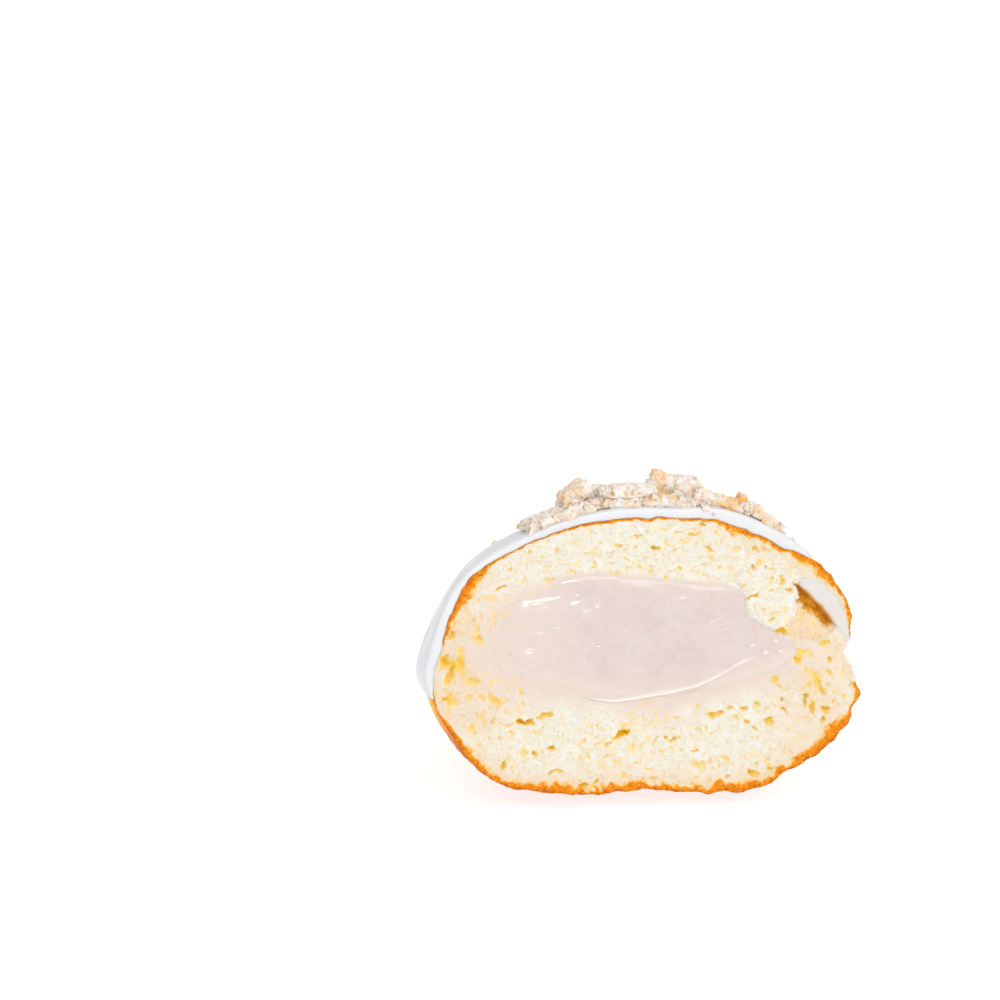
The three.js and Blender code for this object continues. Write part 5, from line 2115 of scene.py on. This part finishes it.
@dataclass(frozen=True)
class CerealTopping:
    """Heap of broken squares on the crown, squares lying loose beside it and crumbs on the icing."""

    front: tuple[HeapPiece, ...] = rows_of(HeapPiece, (
        (-14.8, 4.5, 34.6, 6.4, 2.8, 5.4, 31, 8, 0.2), (-18.4, 3.2, 30.1, 14.4, 2.4, 7.0, 19.5, 4),
        (-5.3, 3.4, 34.9, 12.6, 2.4, 6.4, 2, -4, 0.05), (-4.6, 2.8, 32.8, 11.2, 1.8, 5.4, 1, 0),
        (2.8, 3.6, 35.9, 6.2, 5.2, 2.6, -18, 12, 0.3), (3.0, 1.9, 33.2, 5.2, 2.2, 3.2, 6, 0, 0.15),
        (7.7, 4.0, 35.2, 6.0, 4.8, 4.4, -10, 14, 0.05), (11.1, 2.7, 33.4, 5.0, 3.3, 4.2, -20, 8, 0.1),
        (16.3, 3.3, 32.3, 8.0, 2.2, 5.6, -15, -6, 0.4), (18.8, 2.4, 32.5, 2.0, 3.4, 3.2, -14, 8, 0.6),
        (23.2, 3.0, 29.8, 9.8, 2.1, 5.4, -33, 0, 0.2),
    ))
    # A flake that hangs over the icing's edge, and bits that fill the gaps.
    bits: tuple[HeapPiece, ...] = rows_of(HeapPiece, (
        (10.9, 0.1, 32.2, 2.2, 1.0, 1.4, -75, 0, 0.1), (7.2, 2.4, 32.7, 4.4, 1.9, 3.6, -4, 0, 0.05),
        (-10.2, 2.8, 32.6, 3.6, 2.0, 3.4, 14, 0, 0.05), (13.8, 2.6, 32.2, 3.4, 1.6, 3.2, -16, 0, 0.1),
        (-11.2, 5.2, 34.6, 4.8, 2.4, 4.0, 14, 0, 0.05), (5.6, 1.8, 32.3, 5.0, 1.4, 3.0, 0, 0, 0.1),
    ))
    loose: tuple[LoosePiece, ...] = rows_of(LoosePiece, (
        (112, 25, 9.2, 2.8, 25), (76, 20, 7.6, 2.6, 70), (44, 30, 8.4, 2.7, -20), (88, 39, 6.2, 2.4, 48),
    ))
    loose_torn: float = 0.6
    heap_reach: float = 24.0
    heap_edge: float = 50.0
    back_pieces: int = 20
    back_row: float = 8.0
    # Least value and spread for the pieces behind the front row, and for the crumbs.
    back_azimuth: Pair = (24.0, 110.0)
    back_length: Pair = (4.5, 4.0)
    back_width_share: Pair = (0.6, 0.3)
    back_thick: Pair = (1.8, 1.2)
    back_height: Pair = (1.2, 1.0)
    crumbs: int = 44
    crumb_azimuth: Pair = (8.0, 164.0)
    crumb_size: Pair = (0.6, 0.8)
    crumb_limit: float = 138.0
    # Highest latitude and how far down from it.
    crumb_latitude: Pair = (46.0, 28.0)
    dust_latitude: Pair = (62.0, 44.0)
    thick_coat: float = 1.8
    # Least and greatest values of what is strewn.
    dust: int = 150
    dust_size: Pair = (0.14, 0.45)
    chips: int = 60
    chip_azimuth: Pair = (8.0, 172.0)
    chip_height: Pair = (0.3, 2.2)
    chip_size: Pair = (1.2, 3.4)
    rubble: int = 130
    rubble_share: float = 0.75
    rubble_reach: Pair = (-25.0, 27.0)
    rubble_depth: Pair = (1.2, 11.0)
    rubble_height: Pair = (0.1, 0.8)
    face_crumbs: float = 1.2
    face_crumb_size: Pair = (0.3, 0.65)
    swell: float = 0.4
    fine_cell: float = 0.3
    chip_cell: float = 0.45
    coarse_cell: float = 0.5

    def build_heap(self, material: Material) -> None:
        """Builds the heap: its front row, the pieces behind it and chips between them.

        Args:
            material: The cereal's material.
        """
        draw = Draws(SEED + 2)
        cereal = Cereal("cereal_heap_pieces", SEED + 20)
        for p in self.front:
            self.add_front(cereal, p, cereal.outline(draw))
        for i in range(self.back_pieces):
            azimuth = self.back_azimuth[0] + self.back_azimuth[1] * ((i + 0.6 * draw()) / self.back_pieces)
            nearest = self.back_row / math.sin(math.radians(azimuth))
            away = nearest + (self.heap_reach - nearest) * draw()
            latitude = 90 - (90 - self.heap_edge) * away / self.heap_reach
            length = draw.above(*self.back_length)
            width = length * draw.above(*self.back_width_share)
            thick = draw.above(*self.back_thick)
            outline = cereal.outline(draw)
            tilt, spin = 0.5 * (draw() - 0.5), 2 * math.pi * draw()
            place = ICED.frame_at(azimuth, latitude, draw.above(*self.back_height))
            place = place @ Matrix.Rotation(spin, 4, "Z") @ Matrix.Rotation(tilt, 4, "X")
            cereal.add(outline, (length, width, thick), self.coarse_cell, 0.3 * draw(), place)
        for bit in self.bits:
            self.add_front(cereal, bit, cereal.outline(draw))
        self.strew(cereal)
        finish_piece(cereal.object(), Slot.CEREAL, material, "cereal_heap")

    def add_front(self, cereal: Cereal, piece: HeapPiece, outline: Array) -> None:
        """Adds a piece that stands at the front of the heap.

        Args:
            cereal: The mesh that takes the pieces.
            piece: The piece and how it stands.
            outline: Its corners for sides of two.
        """
        place = Matrix.Translation((piece.x, piece.y, piece.z)) @ turned("Y", -piece.turn)
        place = place @ turned("X", piece.lean)
        sizes = (piece.length, piece.width, piece.thick + self.swell)
        cereal.add(outline, sizes, self.fine_cell, piece.toast, place)
        draws = np.random.default_rng(SEED + len(cereal.form.verts))
        for _ in range(int(self.face_crumbs * piece.length)):
            spot = draws.uniform(-0.42, 0.42, 2) * (piece.length, piece.thick)
            crumb = place @ Matrix.Translation((spot[0], -0.4 * piece.width, spot[1]))
            crumb = crumb @ Matrix.Rotation(draws.uniform(0, FULL_TURN), 4, "Y")
            cereal.add_chip(draws.uniform(*self.face_crumb_size), 2, draws.uniform(0, 0.5), crumb)

    def strew(self, cereal: Cereal) -> None:
        """Adds small broken pieces between the squares of the heap and under its front row.

        Args:
            cereal: The mesh that takes the pieces.
        """
        draws = np.random.default_rng(SEED + 12)
        for i in range(self.chips + self.rubble):
            if i < self.chips:
                azimuth, latitude = draws.uniform(*self.chip_azimuth), 90 - 38 * draws.power(1.6)
                place = ICED.frame_at(azimuth, latitude, draws.uniform(*self.chip_height))
            else:
                x, y = draws.uniform(*self.rubble_reach), draws.uniform(*self.rubble_depth)
                place = over(x, y, draws.uniform(*self.rubble_height))
            place = place @ Matrix.Rotation(draws.uniform(0, FULL_TURN), 4, "Z")
            place = place @ Matrix.Rotation(draws.uniform(-0.5, 0.5), 4, "X")
            size = draws.uniform(*self.chip_size) * (1.0 if i < self.chips else self.rubble_share)
            outline = np.array(Cereal.CORNERS) * draws.uniform(0.7, 1.05, (len(Cereal.CORNERS), 1))
            sizes = (size, 0.75 * size, 0.45 * size)
            cereal.add(outline, sizes, self.chip_cell, draws.uniform(0, 0.6), place)

    def build_loose(self, material: Material) -> None:
        """Builds the squares that lie loose on the icing.

        Args:
            material: The cereal's material.
        """
        draw = Draws(SEED + 3)
        for i, p in enumerate(self.loose, start=1):
            cereal = Cereal(f"cereal_square_{i}", SEED + 30 + i, self.loose_torn)
            outline = cereal.outline(draw)
            place = ICED.frame_at(p.azimuth, p.latitude, p.thick / 2 + 0.1) @ turned("Z", p.spin)
            cereal.add(outline, (p.side, p.side * 0.9, p.thick), self.fine_cell, 0.15, place)
            finish_piece(cereal.object(), Slot.CEREAL, material, f"cereal_piece_{i}")

    def build_crumbs(self, material: Material) -> None:
        """Builds the crumbs and dust that lie on the icing.

        Args:
            material: The cereal's material.
        """
        draw = Draws(SEED + 1)
        cereal = Cereal("cereal_crumbs", SEED + 40)
        for _ in range(self.crumbs):
            azimuth = draw.above(*self.crumb_azimuth)
            latitude = self.crumb_latitude[0] - self.crumb_latitude[1] * draw() ** 1.5
            size = draw.above(*self.crumb_size)
            spot = np.array(azimuth), np.array(latitude)
            coat = ICED.surface_radius(*spot) - DOUGH.radius(*spot)
            if azimuth < self.crumb_limit and coat > self.thick_coat:
                cereal.add_chip(size, 2, 0.3, ICED.frame_at(azimuth, latitude, 0.25 * size))
        dust = np.random.default_rng(SEED + 13)
        for _ in range(self.dust):
            azimuth = dust.uniform(2, self.crumb_limit)
            latitude = self.dust_latitude[0] - self.dust_latitude[1] * dust.power(0.8) ** 1.4
            size = dust.uniform(*self.dust_size)
            cereal.add_chip(size, 1, dust.uniform(0.1, 0.9), ICED.frame_at(azimuth, latitude, 0.3 * size))
        finish_piece(cereal.object(), Slot.CEREAL, material)


# Stage


@dataclass(frozen=True)
class Camera:
    """Camera at the photograph's place: direction to the cut, distance, scale and where the origin falls."""

    azimuth: float = 17.2
    elevation: float = 8.7
    roll: float = -1.4
    distance: float = 650.0
    focal_pixels: float = 3309.0
    wide_correction: float = 0.9965
    image_pixels: float = 1000.0
    origin_pixel: Pair = (649.3, 669.4)
    sensor: float = 36.0

    def build(self) -> None:
        """Sets up the camera."""
        az, el, roll = (math.radians(a) for a in (self.azimuth, self.elevation, self.roll))
        back = Vector((-math.sin(az) * math.cos(el), -math.cos(az) * math.cos(el), math.sin(el)))
        level = Vector((math.cos(az), -math.sin(az), 0))
        upright = back.cross(level)
        right = level * math.cos(roll) - upright * math.sin(roll)
        above = level * math.sin(roll) + upright * math.cos(roll)
        focal = self.focal_pixels * self.wide_correction
        half = self.image_pixels / 2
        seen = Vector((self.origin_pixel[0] - half, half - self.origin_pixel[1], -focal)).normalized()
        aim = Vector((0, 0, -1)).rotation_difference(seen).to_matrix()
        axes = STAND.turn() @ Matrix((right, above, back)).transposed() @ aim.transposed()
        eye = (STAND.turn() @ (back * self.distance) + Vector(STAND.shift)) * STAND.scale
        data = bpy.data.cameras.new("camera")
        data.sensor_width = self.sensor
        data.lens = self.sensor * focal / self.image_pixels
        data.clip_start = 0.01
        camera = link("camera", data)
        camera.matrix_world = Matrix.Translation(eye) @ axes.to_4x4()
        bpy.context.scene.camera = camera


@dataclass(frozen=True)
class SoftLight:
    """A square soft light aimed at the half: direction, distance, side and power."""

    name: str
    azimuth: float
    elevation: float
    distance: float
    side: float
    power: float

    def build(self) -> None:
        """Sets up the light."""
        az, el = math.radians(self.azimuth), math.radians(self.elevation)
        out = Vector((math.sin(az) * math.cos(el), -math.cos(az) * math.cos(el), math.sin(el)))
        aimed = out.to_track_quat("Z", "Y").to_matrix().to_4x4()
        data = bpy.data.lights.new(self.name, "AREA")
        data.size = self.side
        data.energy = self.power
        link(self.name, data).matrix_world = Matrix.Translation(out * self.distance) @ aimed


@dataclass(frozen=True)
class Stage:
    """Pale floor, soft white surroundings and the lights."""

    floor_side: float = 8.0
    sky: float = 0.8
    sky_slope: float = 0.2
    bright_side: tuple[float, float, float] = (0.45, -0.55, 0.7)
    lights: tuple[SoftLight, ...] = (
        SoftLight("key", 22, 48, 0.9, 0.4, 1.3), SoftLight("glint", 6, 34, 0.9, 0.06, 0.8),
    )

    def build(self, groups: SharedGroups) -> None:
        """Sets up the floor, the surroundings and the lights.

        Args:
            groups: The shared node groups.
        """
        floor = link("floor", plain_grid("floor", 1, 1, self.floor_side / 2))
        floor.data.materials.append(FloorFinish().material(groups))
        world = bpy.data.worlds.new("surroundings")
        world.use_nodes = True
        self.grade(world.node_tree)
        bpy.context.scene.world = world
        bpy.context.scene.view_settings.view_transform = "Standard"
        for light in self.lights:
            light.build()

    def grade(self, tree: bpy.types.NodeTree) -> None:
        """Makes the surroundings white to the camera, and brighter on one side for what they light.

        Args:
            tree: Node tree of the surroundings.
        """
        shading = Shading(tree)
        direction = shading.node("TexCoord").outputs["Generated"]
        facing = shading.vector("DOT_PRODUCT", {0: direction, 1: self.bright_side}, "Value")
        level = shading.plus(shading.times(facing, self.sky_slope), self.sky)
        seen = shading.node("LightPath").outputs["Is Camera Ray"]
        background = tree.nodes["Background"].inputs
        shading.put(background["Color"], WHITE_LIGHT)
        shading.put(background["Strength"], shading.math("MAXIMUM", level, seen))


def main() -> None:
    """Builds the half, piece by piece, and its stage."""
    logging.basicConfig(level=logging.INFO, format="%(name)s %(message)s")
    Camera().build()
    groups = SharedGroups()
    Stage().build(groups)
    CutCrumb().build(CrumbFinish().material(groups))
    CrustSkin().build(SkinFinish().material(groups))
    Cream().build(CreamFinish().material(groups))
    IcingCoat().build(IcingFinish().material(groups))
    run_finish = IcingFinish(name="icing_run", white=srgb(216, 213, 208), cool=srgb(210, 207, 203))
    IcingRun().build(run_finish.material(groups))
    cereal = CerealFinish().material(groups)
    topping = CerealTopping()
    topping.build_heap(cereal)
    topping.build_loose(cereal)
    topping.build_crumbs(cereal)


if __name__ == "__main__":
    main()
